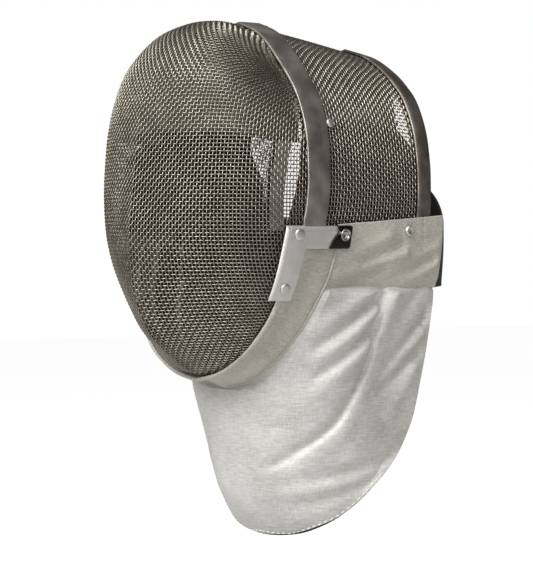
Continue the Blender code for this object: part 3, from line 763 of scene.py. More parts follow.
@dataclass(frozen=True)
class MouldedPlastic:
    """Moulded black ABS: a wet gloss over a faint orange peel."""

    colour: str = "0d0b08"
    peel_mm: float = 2.5

    def build(self) -> Material:
        """Make the material.

        Returns:
            The new material.
        """
        material, tree, shader, place = new_material("moulded black ABS")
        peel = add_node(tree, "TexNoise", {"Scale": repeats(self.peel_mm), "Detail": 1.0},
                        {"Vector": place["Object"]}).outputs["Fac"]
        bump = add_node(tree, "Bump", {"Strength": 0.08, "Distance": 0.3 * MM}, {"Height": peel})
        gloss = add_node(tree, "MapRange", {3: 0.16, 4: 0.30}, {"Value": peel})
        feed(tree, shader, {"Base Color": linear(self.colour), "Specular IOR Level": 0.22},
             {"Normal": bump.outputs["Normal"], "Roughness": gloss.outputs["Result"]})
        return material


# ---- wire net


class Skin:
    """A smooth surface that wires are laid on."""

    def __init__(self, points: Array, inside: int) -> None:
        """Keep the surface for nearest-point questions.

        Args:
            points: Grid of points, rows by columns by three.
            inside: How many face columns the mesh covers, where the rest only guide it.
        """
        faces = cells(numbered(points.shape)).tolist()
        self.tree = BVHTree.FromPolygons(points.reshape(-1, 3).tolist(), faces)
        self.face_columns = points.shape[1] - 1
        self.inside = inside

    def nearest(self, point: Vector) -> tuple[Vector, Vector, bool]:
        """Find the closest spot of the surface.

        Args:
            point: Any point.

        Returns:
            The spot, its outward normal, and whether mesh covers it.
        """
        spot, normal, face, _ = self.tree.find_nearest(point)
        return spot, normal, face % self.face_columns < self.inside


@dataclass(frozen=True)
class Knot:
    """A crossing of two wires: its place on the skin, its outward normal, and whether mesh covers it."""

    place: Vector
    normal: Vector
    covered: bool

    def mirrored(self) -> Knot:
        """The same crossing on the other side of the mask."""
        flip = Vector((-1, 1, 1))
        return Knot(self.place * flip, self.normal * flip, self.covered)


Net = dict[tuple[int, int], Knot]


@dataclass
class WireCloth:
    """Plain-woven wire: 1 mm wires 3.1 mm apart, each passing over and under the next."""

    pitch: float = 3.1 * MM
    wire: float = 1.0 * MM
    crimp: float = 0.5 * MM
    sides: int = 5
    swell: float = 1.07
    least: float = 0.54
    most: float = 0.86
    shear: float = 0.3
    tries: int = 3
    turns: int = 90
    haste: float = 1.6
    reseat_every: int = 3

    def walk(self, line: list[Vector]) -> list[Vector]:
        """Step along a line by one pitch at a time.

        Args:
            line: Close points of the line.

        Returns:
            Points one pitch apart.
        """
        spots = np.array([tuple(p) for p in line])
        count = int(path_lengths(spots)[-1] / self.pitch)
        return [Vector(spot) for spot in points_along(spots, np.arange(count + 1) * self.pitch)]

    def corner(self, skin: Skin, beside: Vector, before: Vector, back: Vector) -> tuple[Vector, Vector, bool]:
        """Close one mesh of the net: the point a pitch away from both neighbours.

        Args:
            skin: The surface.
            beside: Neighbour along one wire.
            before: Neighbour along the other wire.
            back: The corner opposite, which the two neighbours share.

        Returns:
            The spot, its normal, and whether mesh covers it.
        """
        guess = beside + before - back
        spot, normal, covered = skin.nearest(guess)
        middle = (beside + before) / 2
        half = (beside - before).length / 2
        reach = math.sqrt(max(self.pitch ** 2 - half ** 2, 0.0))
        reach = min(max(reach, self.least * self.pitch), self.most * self.pitch)
        for _ in range(self.tries):
            away = spot - middle
            chord = (beside - before).normalized()
            away -= chord * away.dot(chord)
            if away.length < 1e-9:
                break
            spot, normal, covered = skin.nearest(middle + away.normalized() * reach)
        return spot, normal, covered

    def drape(self, skin: Skin, keel: list[Vector], level: list[Vector]) -> Net:
        """Drape one quarter of the net from two starting wires, as wire cloth shears over a form.

        Args:
            skin: The surface.
            keel: Points a pitch apart on the centre line, from the middle outward.
            level: Points a pitch apart on the level wire, from the centre line outward.

        Returns:
            Crossings by wire numbers, across and along.
        """
        knots: Net = {}
        for j, point in enumerate(keel):
            spot, normal, covered = skin.nearest(point)
            normal = Vector((0.0, normal.y, normal.z)).normalized()
            knots[0, j] = Knot(Vector((0.0, spot.y, spot.z)), normal, covered)
        for i, point in enumerate(level):
            knots.setdefault((i, 0), Knot(*skin.nearest(point)))
        for j in range(1, len(keel)):
            for i in range(1, len(level)):
                near = [knots[key].place for key in ((i - 1, j), (i, j - 1), (i - 1, j - 1))]
                knots[i, j] = Knot(*self.corner(skin, *near))
        grid = np.array([[tuple(knots[i, j].place) for i in range(len(level))]
                         for j in range(len(keel))])
        self.relax(skin, grid)
        for j in range(len(keel)):
            for i in range(len(level)):
                spot, normal, covered = skin.nearest(Vector(grid[j, i]))
                if i == 0:
                    spot = Vector((0.0, spot.y, spot.z))
                    normal = Vector((0.0, normal.y, normal.z)).normalized()
                knots[i, j] = Knot(spot, normal, covered)
        return knots

    def relax(self, skin: Skin, grid: Array) -> None:
        """Let the crossings slide until every mesh is near its own size and not too askew.

        Args:
            skin: The surface.
            grid: Crossings, rows by columns by three, changed in place.
        """
        diagonal = self.pitch * math.sqrt(2.0)
        springs = ((0, 1, self.pitch, 1.0), (1, 0, self.pitch, 1.0), (1, 1, diagonal, self.shear),
                   (1, -1, diagonal, self.shear))
        rows, columns = grid.shape[:2]
        for turn in range(self.turns):
            move = np.zeros_like(grid)
            weight = np.zeros((rows, columns, 1))
            for down, right, rest, stiff in springs:
                low, high = max(-right, 0), columns - max(right, 0)
                a = (slice(0, rows - down), slice(low, high))
                b = (slice(down, rows), slice(low + right, high + right))
                gap = grid[b] - grid[a]
                length = np.linalg.norm(gap, axis=2, keepdims=True)
                pull = gap * (stiff * (length - rest) / np.maximum(length, 1e-6) / 2)
                move[a] += pull
                move[b] -= pull
                weight[a] += stiff
                weight[b] += stiff
            grid[1:] += (move / weight * self.haste)[1:]
            grid[:, 0, 0] = 0.0
            if turn % self.reseat_every == self.reseat_every - 1:
                for j in range(1, rows):
                    for i in range(columns):
                        grid[j, i] = skin.nearest(Vector(grid[j, i]))[0]

    def wires(self, knots: Net, way: Way) -> Runs:
        """Follow each wire of one way over and under its neighbours.

        Args:
            knots: Crossings by wire numbers.
            way: Which wires.

        Returns:
            For each run of wire, its centre line and the normals along it.
        """
        fixed = 1 - way.value
        free = way.value
        lines: dict[int, list[tuple[int, int]]] = {}
        for key in knots:
            lines.setdefault(key[fixed], []).append(key)
        runs = []
        for number in sorted(lines):
            run: list[tuple[int, int]] = []
            for key in sorted(lines[number], key=lambda k: k[free]) + [None]:
                if key is not None and knots[key].covered and (not run or key[free] == run[-1][free] + 1):
                    run.append(key)
                    continue
                if len(run) > 2:
                    runs.append(self.follow(knots, run, way))
                run = [key] if key is not None and knots[key].covered else []
        return runs

    def follow(self, knots: Net, run: list[tuple[int, int]],
               way: Way) -> tuple[Array, Array]:
        """Lay one wire through its crossings.

        Args:
            knots: Crossings by wire numbers.
            run: The wire's crossings in order.
            way: Which wires.

        Returns:
            The centre line and the normals along it, two points a pitch.
        """
        depth = self.wire / 2 + self.crimp
        sign = 1.0 if way is Way.ACROSS else -1.0
        places = np.array([tuple(knots[k].place) for k in run])
        normals = np.array([tuple(knots[k].normal) for k in run])
        lift = np.array([sign if (k[0] + k[1]) % 2 == 0 else -sign for k in run])
        base = places - normals * depth
        crossing = base + normals * (lift * self.crimp)[:, None]
        between = (base[:-1] + base[1:]) / 2
        line = np.empty((2 * len(run) - 1, 3))
        line[0::2], line[1::2] = crossing, between
        out = np.empty_like(line)
        out[0::2], out[1::2] = normals, normals[:-1] + normals[1:]
        return line, out / np.linalg.norm(out, axis=1, keepdims=True)

    def tubes(self, name: str, runs: Runs) -> Piece:
        """Make all the wires of one way as one mesh.

        Args:
            name: The piece's name.
            runs: Centre lines and normals.

        Returns:
            The new object.
        """
        points, faces, start = [], [], 0
        for line, out in runs:
            points.append(round_wire(line, out, self.swell * self.wire / 2, self.sides).reshape(-1, 3))
            ids = start + numbered((len(line), self.sides))
            start += ids.size
            closed = np.concatenate([ids, ids[:, :1]], axis=1)
            faces += cells(closed)[:, [0, 3, 2, 1]].tolist()
            faces += [ids[0][::-1].tolist(), ids[-1].tolist()]
        return make_object(name, np.concatenate(points), faces)


# ---- front cage


@dataclass
class FrontCage:
    """The keeled cage in front of the face, pressed from one sheet of wire cloth."""

    cloth: WireCloth
    rows_each: int = 8
    across: int = 64
    guide_steps: int = 40
    guide_mm: float = 200.0
    past_mm: float = 24.0
    cover_mm: float = 5.0

    def point(self, t: float, angle: float) -> Point:
        """Point of the cage's outer face.

        Args:
            t: Section number, crown to chin.
            angle: From the keel, 0, to the rim, a right angle.

        Returns:
            The point in metres.
        """
        row = FRONT_CAGE.at(t)
        power = row["fullness"]
        side, forward = math.sin(angle), max(math.cos(angle), 0.0)
        reach = (side ** power + forward ** power) ** (1.0 / power)
        side, forward = side / reach, forward / reach
        forward *= 1.0 - row["crease"] * side * forward
        flat = min(RIM_FLAT / max(row["rim_y"] - row["keel_y"], RIM_FLAT), 0.6)
        rise = max(forward - flat, 0.0) / (1.0 - flat)
        lift = rise * rise * (3.0 - 2.0 * rise)
        y = row["rim_y"] + (row["keel_y"] - row["rim_y"]) * forward
        z = row["rim_z"] + (row["keel_z"] - row["rim_z"]) * lift
        return (row["rim_x"] * side * MM, y * MM, z * MM)

    def skin(self) -> Skin:
        """Make the cage's face, drawn on behind its rim so that the net has something to lie on.

        Returns:
            The surface.
        """
        rows = []
        extra = spread(self.guide_steps, 0.0, self.guide_mm * MM)[1:]
        cover = sum(1 for e in extra if e <= self.cover_mm * MM)
        for t in spread(int(FRONT_CAGE.last) * self.rows_each, 0.03, FRONT_CAGE.last - 0.02):
            row = [self.point(t, a) for a in spread(self.across, 0.0, math.pi / 2)]
            x, y, z = row[-1]
            rows.append(row + [(x, y + e, z) for e in extra])
        return Skin(np.array(rows), self.across + cover)

    def run_on(self, line: list[Vector]) -> list[Vector]:
        """Carry a starting wire's line on behind its end."""
        return line + [line[-1] + Vector((0.0, e, 0.0)) for e in spread(8, 0.0, self.past_mm * MM)[1:]]

    def keel(self, start: float, end: float) -> list[Vector]:
        """The centre line from one section to the crown or chin, and on behind it."""
        steps = 40 * int(abs(end - start))
        return self.run_on([Vector(self.point(t, 0.0)) for t in spread(steps, start, end)])

    def level(self) -> list[Vector]:
        """The level starting wire, from the keel to the rim and on behind it."""
        return self.run_on([Vector(self.point(MIDDLE_ROW, a)) for a in spread(200, 0.0, math.pi / 2)])

    def knots(self) -> Net:
        """Drape the net over both halves, above and below its starting wire.

        Returns:
            Crossings by wire numbers, across and along.
        """
        skin = self.skin()
        side = self.cloth.walk(self.level())
        found: Net = {}
        for sign, end in ((1, 0.0), (-1, FRONT_CAGE.last)):
            quarter = self.cloth.drape(skin, self.cloth.walk(self.keel(MIDDLE_ROW, end)), side)
            for (i, j), knot in quarter.items():
                found[i, sign * j] = knot
                found[-i, sign * j] = knot.mirrored() if i else knot
        return found

    def build(self, finish: Material) -> None:
        """Make the wires of both ways, each way in two pieces so that none is too large.

        Args:
            finish: The wire's material.
        """
        knots = self.knots()
        halves = {Way.ACROSS: ("lower", "upper"), Way.DOWN: ("right", "left")}
        for way, words in halves.items():
            runs = self.cloth.wires(knots, way)
            middle = len(runs) // 2
            for word, some in zip(words, (runs[:middle], runs[middle:])):
                piece = self.cloth.tubes(f"front_wires_{way.name.lower()}_{word}", some)
                seat(piece, finish, "mesh_wire", "front_mesh")


def arch_point(t: float) -> Point:
    """Point of the front cage's rim on the wearer's left, by section number."""
    row = FRONT_CAGE.at(t)
    return (row["rim_x"] * MM, row["rim_y"] * MM, row["rim_z"] * MM)


_RIM = np.array([arch_point(t) for t in spread(240, 0.0, FRONT_CAGE.last)])[::-1]


def side_x(z: float) -> float:
    """Half-width of the rim at a height.

    Args:
        z: Height in metres.

    Returns:
        Half-width in metres.
    """
    return float(np.interp(z, _RIM[:, 2], _RIM[:, 0]))


# ---- rear cage


def rear_point(t: float, u: float) -> Point:
    """Point of the rear cage's outer face.

    Args:
        t: From the crown, 0, to the ear, 1.
        u: From the front band, 0, to the back edge, 1.

    Returns:
        The point in metres.
    """
    front = arch_point(t * EAR_ROW)
    back = REAR_EDGE.at(t * REAR_EDGE.last)
    swell = REAR_BULGE * MM * math.sin(math.pi * u)
    lean = math.sin(t * math.pi / 2)
    start_y = front[1] + 0.5 * MM
    x = front[0] + (back["x"] * MM - front[0]) * u + swell * lean * min(t * 6, 1.0)
    y = start_y + (back["y"] * MM - start_y) * u
    z = front[2] + (back["z"] * MM - front[2]) * u + swell * (1.0 - lean)
    return (x, y, z)


@dataclass
class RearCage:
    """The barrel-shaped cage over the back of the head, bent from a strip of the same wire cloth."""

    cloth: WireCloth
    steps: int = 300
    depth_mm: float = 117.0
    under_fold: float = 0.985

    def knots(self) -> Net:
        """Lay the net square to the strip, over both sides.

        Returns:
            Crossings by wire numbers, along and across.
        """
        shares = spread(self.steps, 0.0, 1.0)
        lengths = path_lengths(np.array([rear_point(t, 0.5) for t in shares]))
        count = int(round(lengths[-1] / self.cloth.pitch))
        stations = [float(np.interp(s, lengths, shares)) for s in np.linspace(0, lengths[-1], count + 1)]
        deep = int(round(self.depth_mm * MM / self.cloth.pitch))
        rows = [[rear_point(t, u) for u in spread(deep, 0.0, self.under_fold)] for t in stations]
        tail = int(round((rows[-1][0][2] - TAIL_Z * MM) / self.cloth.pitch))
        for f in spread(tail, 0.0, 1.0)[1:]:
            rows.append([(x - TAIL_TUCK * MM * f, y, z + (TAIL_Z * MM - z) * f) for x, y, z in rows[count]])
        grid = np.array(rows)
        normals = grid_normals(grid)
        found: Net = {}
        for i in range(grid.shape[0]):
            for j in range(grid.shape[1]):
                normal = Vector(normals[i, j])
                if i == 0:
                    normal = Vector((0.0, normal.y, normal.z)).normalized()
                knot = Knot(Vector(grid[i, j]), normal, True)
                found[i, j] = knot
                found[-i, j] = knot.mirrored() if i else knot
        return found

    def build(self, finish: Material) -> None:
        """Make the wires of both ways.

        Args:
            finish: The wire's material.
        """
        knots = self.knots()
        nodes = {Way.ACROSS: ("rear_mesh",), Way.DOWN: ()}
        for way in Way:
            piece = self.cloth.tubes("rear_wires_" + way.name.lower(), self.cloth.wires(knots, way))
            seat(piece, finish, "mesh_wire", *nodes[way])


# ---- bands


@dataclass
class SteelBands:
    """The wide band over the crown, and the folded strip round the back edge."""

    steps: int = 90
    seat_mm: float = 0.8
    outer_mm: float = 2.6
    width_mm: float = 23.0
    rear_width_mm: float = 16.0
    lip_mm: float = 9.0
    crowned_mm: float = 0.15
    soft_mm: float = 0.6
    end_z: float = -171.0
    rear_end_z: float = -162.0
    rear_back_mm: float = 1.6
    inside_mm: float = -2.4
    sheet_mm: float = 0.9
    roll_mm: float = 2.2

    def sweep(self, name: str, half: list[Point], section: list[tuple[float, float]],
              leans: list[float]) -> Piece:
        """Bend a strip of one section round the mask.

        Args:
            name: The piece's name.
            half: The arch from the centre line to the wearer's left ear.
            section: Closed outline of (back, out) corners in millimetres.
            leans: How far the section leans out for each metre forward, by point.

        Returns:
            The new object.
        """
        arch = np.array([(-x, y, z) for x, y, z in reversed(half[1:])] + half)
        lean = np.array(list(reversed(leans[1:])) + leans)
        run = np.gradient(arch, axis=0)
        length = np.hypot(run[:, 0], run[:, 2])
        out = np.stack([-run[:, 2] / length, np.zeros(len(arch)), run[:, 0] / length], axis=1)
        shape = np.array(section) * MM
        stand = shape[None, :, 1] - lean[:, None] * shape[None, :, 0]
        points = arch[:, None] + out[:, None] * stand[..., None]
        points[..., 1] += shape[None, :, 0]
        piece = grid_object(name, points[:, ::-1], wrap=True)
        piece.data.set_sharp_from_angle(angle=math.radians(50))
        return piece

    def plate(self, front: float, back: float, inner: float, outer: float,
              soft: float) -> list[tuple[float, float]]:
        """Outline of a strip's section with rounded outer corners.

        Args:
            front: Its front edge, back of the arch, in millimetres.
            back: Its back edge.
            inner: Its inner face, out from the arch.
            outer: Its outer face.
            soft: Rounding of the outer corners.

        Returns:
            Corners of the outline, in order.
        """
        turns = spread(3, 0.0, math.pi / 2)
        right = [(back - soft + soft * math.cos(a), outer - soft + soft * math.sin(a)) for a in turns]
        left = [(front + soft - soft * math.sin(a), outer - soft + soft * math.cos(a)) for a in turns]
        crown = [(front + (back - front) * f, outer + self.crowned_mm * math.sin(math.pi * f))
                 for f in (0.75, 0.5, 0.25)]
        return [(front, inner), (back, inner)] + right + crown + left

    def build_front(self, finish: Material) -> None:
        """Make the wide band.

        Args:
            finish: Its material.
        """
        half = [arch_point(t) for t in spread(self.steps, 0.0, EAR_ROW)]
        end = self.end_z * MM
        half += [(side_x(z), half[-1][1], z) for z in spread(6, half[-1][2], end)[1:]]
        edge = self.width_mm / 2
        section = self.plate(-edge, edge, self.seat_mm, self.outer_mm, self.soft_mm)
        piece = self.sweep("crown_band", half, section, [0.0] * len(half))
        seat(piece, finish, "band_steel", "front_band")

    def build_rear(self, finish: Material, lining: Material) -> None:
        """Make the strip folded over the rear cage's back edge, and a pale sheet inside it: painted light, a
        pale cloth that stands in for the white surroundings seen through the cage there.

        Args:
            finish: The strip's material.
            lining: The pale sheet's material, painted light.
        """
        stations = spread(self.steps, 0.0, 1.0)
        half = [rear_point(t, 1.0) for t in stations]
        run = np.gradient(np.array(half), axis=0)
        leans = []
        for i, t in enumerate(stations):
            ahead = rear_point(t, 0.85)
            length = math.hypot(run[i, 0], run[i, 2])
            out_x, out_z = (-run[i, 2] / length, run[i, 0] / length) if i else (0.0, 1.0)
            x, y, z = half[i]
            leans.append(((ahead[0] - x) * out_x + (ahead[2] - z) * out_z) / (y - ahead[1]))
        x, y, z = half[-1]
        for f in spread(4, 0.0, 1.0)[1:]:
            half.append((x - TAIL_TUCK * MM * f, y, z + (self.rear_end_z * MM - z) * f))
            leans.append(leans[-1])
        back = self.rear_back_mm
        front, lip = back - self.rear_width_mm, back - self.lip_mm
        inside, outer, roll = self.inside_mm, self.outer_mm, self.roll_mm
        low = inside - self.sheet_mm
        turns = spread(5, 0.0, math.pi / 2)
        section = [(lip, inside), (-0.6, inside), (-0.6, self.seat_mm), (front, self.seat_mm),
                   (front, outer - 0.4), (front + 0.4, outer), (front + 6.0, outer + 0.1)]
        section += [(back - roll + roll * math.sin(a), outer - roll + roll * math.cos(a)) for a in turns]
        section += [(back - roll + roll * math.cos(a), low + roll - roll * math.sin(a)) for a in turns]
        section.append((lip, low))
        piece = self.sweep("back_band", half, section[::-1], leans)
        seat(piece, finish, "band_steel", "rear_band")
        # Painted light: a pale cloth sheet inside the back edge stands in for the white surroundings seen
        # through the cage.
        high, deep = inside - 1.2, inside - 1.9
        painted_light_sheet = [(front, deep), (back - 0.6, deep), (back - 0.6, high), (front, high)]
        piece = self.sweep("back_edge_painted_light", half, painted_light_sheet[::-1], leans)
        seat(piece, lining, "lining_cloth")


# ---- cloth


def binding_row(t: float, count: int) -> list[tuple[float, float, float, float]]:
    """Points across the binding's outer face, from its lap to its seam.

    Args:
        t: Section number, bracket to chin.
        count: Number of steps across.

    Returns:
        For each point its x, y and z in millimetres, and how far across it is.
    """
    last = BINDING.last
    row = BINDING.at(t)
    ahead, behind = BINDING.at(min(t + 0.05, last)), BINDING.at(max(t - 0.05, 0.0))
    dx, dz = ahead["x"] - behind["x"], ahead["z"] - behind["z"]
    length = math.hypot(dx, dz)
    out_x, out_z = (0.0, -1.0) if t >= last else (-dz / length, dx / length)
    points = []
    for u in spread(count, 0.0, 1.0):
        out = 3.0 + row["flare"] * u * u + 0.5 * math.sin(math.pi * u) - row["tuck"] * (1.0 - u) ** 2
        y = row["front_y"] + (row["seam_y"] - row["front_y"]) * u
        points.append((row["x"] + out * out_x, y, row["z"] + out * out_z, u))
    return points


_SEAM = np.array([binding_row(t, 1)[-1] for t in spread(200, 0.0, BINDING.last)])[::-1]


def seam_y(z: float) -> float:
    """Where the binding's seam is at a height, both in millimetres."""
    return float(np.interp(z, _SEAM[:, 2], _SEAM[:, 1]))


def seam_x(z: float) -> float:
    """How far out the binding's seam is at a height, both in millimetres."""
    return float(np.interp(z, _SEAM[:, 2], _SEAM[:, 0]))


def bell(distance: float, width: float) -> float:
    """A smooth hump of height 1: 1 at no distance, near 0 past twice its width."""
    return math.exp(-((distance / width) ** 2))


@dataclass(frozen=True)
class Fold:
    """A ridge, or a valley if its height is negative, in the side view's y and z. Millimetres."""

    top: tuple[float, float]
    bottom: tuple[float, float]
    width: float
    height: float

    def lift(self, y: float, z: float) -> float:
        """How far it lifts the cloth at a place.

        Args:
            y: Back of the origin.
            z: Up from it.

        Returns:
            The height there: 40% of the full height at the bottom.
        """
        dy, dz = self.bottom[0] - self.top[0], self.bottom[1] - self.top[1]
        along = ((y - self.top[0]) * dy + (z - self.top[1]) * dz) / (dy * dy + dz * dz)
        along = min(max(along, 0.0), 1.0)
        distance = math.hypot(y - self.top[0] - dy * along, z - self.top[1] - dz * along)
        return self.height * bell(distance, self.width) * (1.0 - 0.6 * along)


@dataclass
class Binding:
    """The padded strip along the lower rim, its rolled front edge and its piped seam."""

    steps: int = 150
    across: int = 22
    thickness: float = 2.4 * MM
    roll_mm: float = 6.0
    roll_half_mm: float = 3.2
    roll_rise_mm: float = 1.3
    piping: float = 1.05 * MM
    folded: int = 9
    wrinkle_mm: float = 24.0
    hollow_mm: float = 1.9

    wrinkles = ((0.46, 0.6), (0.87, 0.5), (1.36, 0.75), (1.48, 0.5),
                (1.85, 0.6), (2.7, 0.4), (3.9, 0.4), (5.1, 0.3))

    def relief(self, t: float, u: float, width: float) -> float:
        """How far the strip stands out from its plain section, in millimetres.

        Args:
            t: Section number, bracket to chin.
            u: How far across it is, 0 at the rolled edge and 1 at the seam.
            width: The strip's width there.

        Returns:
            The height over the plain section.
        """
        edge = u * width
        off = (edge - self.roll_half_mm) / self.roll_half_mm
        roll = self.roll_rise_mm * math.sqrt(max(1.0 - off ** 2, 0.0)) if off < 1.0 else 0.0
        groove = -0.45 * bell(edge - self.roll_mm - 0.8, 0.9)
        pull = -0.7 * bell((1.0 - u) * width, 2.2) - self.hollow_mm * bell((u - 0.56) * width, 0.24 * width)
        crinkle = 0.45 * noise.noise(Vector((t * 11.5, u * 2.7, 0.0)))
        crinkle += 0.3 * noise.noise(Vector((t * 30.0, u * 2.0, 3.0)))
        lines = sum(depth * bell((t - spot + 0.02 * math.sin(9.0 * u)) * self.wrinkle_mm, 1.3)
                    for spot, depth in self.wrinkles)
        return roll + groove + pull + (crinkle - lines) * math.sin(math.pi * u)

    def build(self, finish: Material, lining: Material) -> None:
        """Make the strip, its facing and its piping.

        Args:
            finish: Material of the strip and its piping.
            lining: Material of its inner side.
        """
        rows = []
        for t in spread(self.steps, 0.0, BINDING.last):
            row = BINDING.at(t)
            width = row["seam_y"] - row["front_y"]
            plain = np.array(binding_row(t, self.across))
            rows.append([(p[0], p[1], p[2], self.relief(t, p[3], width)) for p in plain])
        data = np.array(rows)
        grid = data[..., :3] * MM
        grid = grid + grid_normals(grid) * data[..., 3:] * MM
        grid[-1, :, 0] = 0.0
        other = grid[::-1][1:] * np.array((-1.0, 1.0, 1.0))
        whole = np.concatenate([grid, other], axis=0)
        piece = grid_object("rolled_binding", whole)
        thicken(piece, self.thickness, 0.7 * MM)
        seat(piece, finish, "binding_cloth", "rim_binding")
        inner = whole - grid_normals(whole) * (self.thickness + 0.15 * MM)
        facing = grid_object("binding_facing", inner[::2, self.folded:-1])
        thicken(facing, 0.35 * MM, 0.1 * MM)
        seat(facing, lining, "lining_cloth")
        line = whole[::2, -1] + grid_normals(whole)[::2, -1] * 0.35 * MM
        line[:, 1] += 0.55 * MM
        cord = round_wire(line, np.array((0.0, 1.0, 0.0)), self.piping, 8)
        seat(grid_object("seam_piping", cord, wrap=True), finish, "binding_cloth")


@dataclass
class SidePanel:
    """The cloth panel over the rear cage's lower edge, with its sewn hem and soft creases."""

    side: Side
    steps: int = 56
    across: int = 90
    thickness: float = 2.6 * MM
    rise_mm: float = 2.6
    arch_mm: float = 1.2
    belly_mm: float = 1.6
    deepest: float = 1.9

    creases = (
        Fold((62, -167), (18, -184), 5, 2),
        Fold((76, -174), (36, -189), 4.5, -2.8),
        Fold((80, -181.5), (14, -198), 5, 2.8),
        Fold((112, -184), (62, -203), 4.5, -2.8),
        Fold((118, -175), (86, -189), 4.5, 2),
        Fold((119, -189), (82, -207), 4, 2.2),
        Fold((60, -193), (28, -205), 4.5, -2.2),
    )

    def plain(self, t: float, u: float) -> Point:
        """Point of the panel's outer face without its creases.

        Args:
            t: Section number, from the top down.
            u: How far back it is, from the binding's seam to the rear edge.

        Returns:
            Its x, y and z in millimetres, on the wearer's left.
        """
        row = PANEL.at(t)
        middle = math.sin(math.pi * u)
        out = self.rise_mm + middle * (self.arch_mm + self.belly_mm * math.sin(math.pi * t / PANEL.last))
        x = row["x_front"] + (row["x_rear"] - row["x_front"]) * u + out
        front_y = seam_y(row["z_front"]) + 0.5
        y = front_y + (row["rear_y"] - front_y) * u
        z = row["z_front"] + (row["z_rear"] - row["z_front"]) * u
        return (x, y, z)

    def relief(self, t: float, u: float, y: float, z: float) -> float:
        """How far the cloth stands out from the plain panel.

        Args:
            t: Section number.
            u: How far back it is.
            y: Its place, in millimetres.
            z: Its height.

        Returns:
            The height over the plain panel, in millimetres.
        """
        lift = max(sum(fold.lift(y, z) for fold in self.creases), -self.deepest)
        lift += 0.5 * noise.noise(Vector((y * 0.05, z * 0.09, 2.0)))
        hem_z = PANEL.at(0)["z_front"] + 8.0 * u - 17.0
        hem = -0.5 * bell(z - hem_z, 0.8) * min(max((u - 0.8) / 0.06, 0.0), 1.0)
        box = -0.4 * bell(y - 101.0, 0.8) * (1.0 if z > -188.0 else 0.0)
        edge = min(u / 0.04, (1.0 - u) / 0.04, 1.0)
        foot = -2.3 * bell((PANEL.last - t) * 13.0, 5.0)
        return (lift * min(t / 0.35, 1.0) + hem + box) * max(edge, 0.0) + foot

    def build(self, finish: Material, lining: Material) -> None:
        """Make the panel.

        Args:
            finish: Its material.
            lining: Material of its inner side.
        """
        rows = []
        for t in spread(self.steps, 0.0, PANEL.last):
            row = []
            for u in spread(self.across, 0.0, 1.0):
                x, y, z = self.plain(t, u)
                row.append((self.side.value * (x + self.relief(t, u, y, z)) * MM, y * MM, z * MM))
            rows.append(row if self.side is Side.LEFT else row[::-1])
        piece = grid_object("hemmed_panel_" + self.side.word, np.array(rows))
        thicken(piece, self.thickness, 0.8 * MM, lined=True)
        seat(piece, finish, "binding_cloth", "side_panel_" + self.side.word, lining=lining)


_QUILT = [tuple(QUILT.at(t).values()) for t in spread(48, 0.0, QUILT.last)]


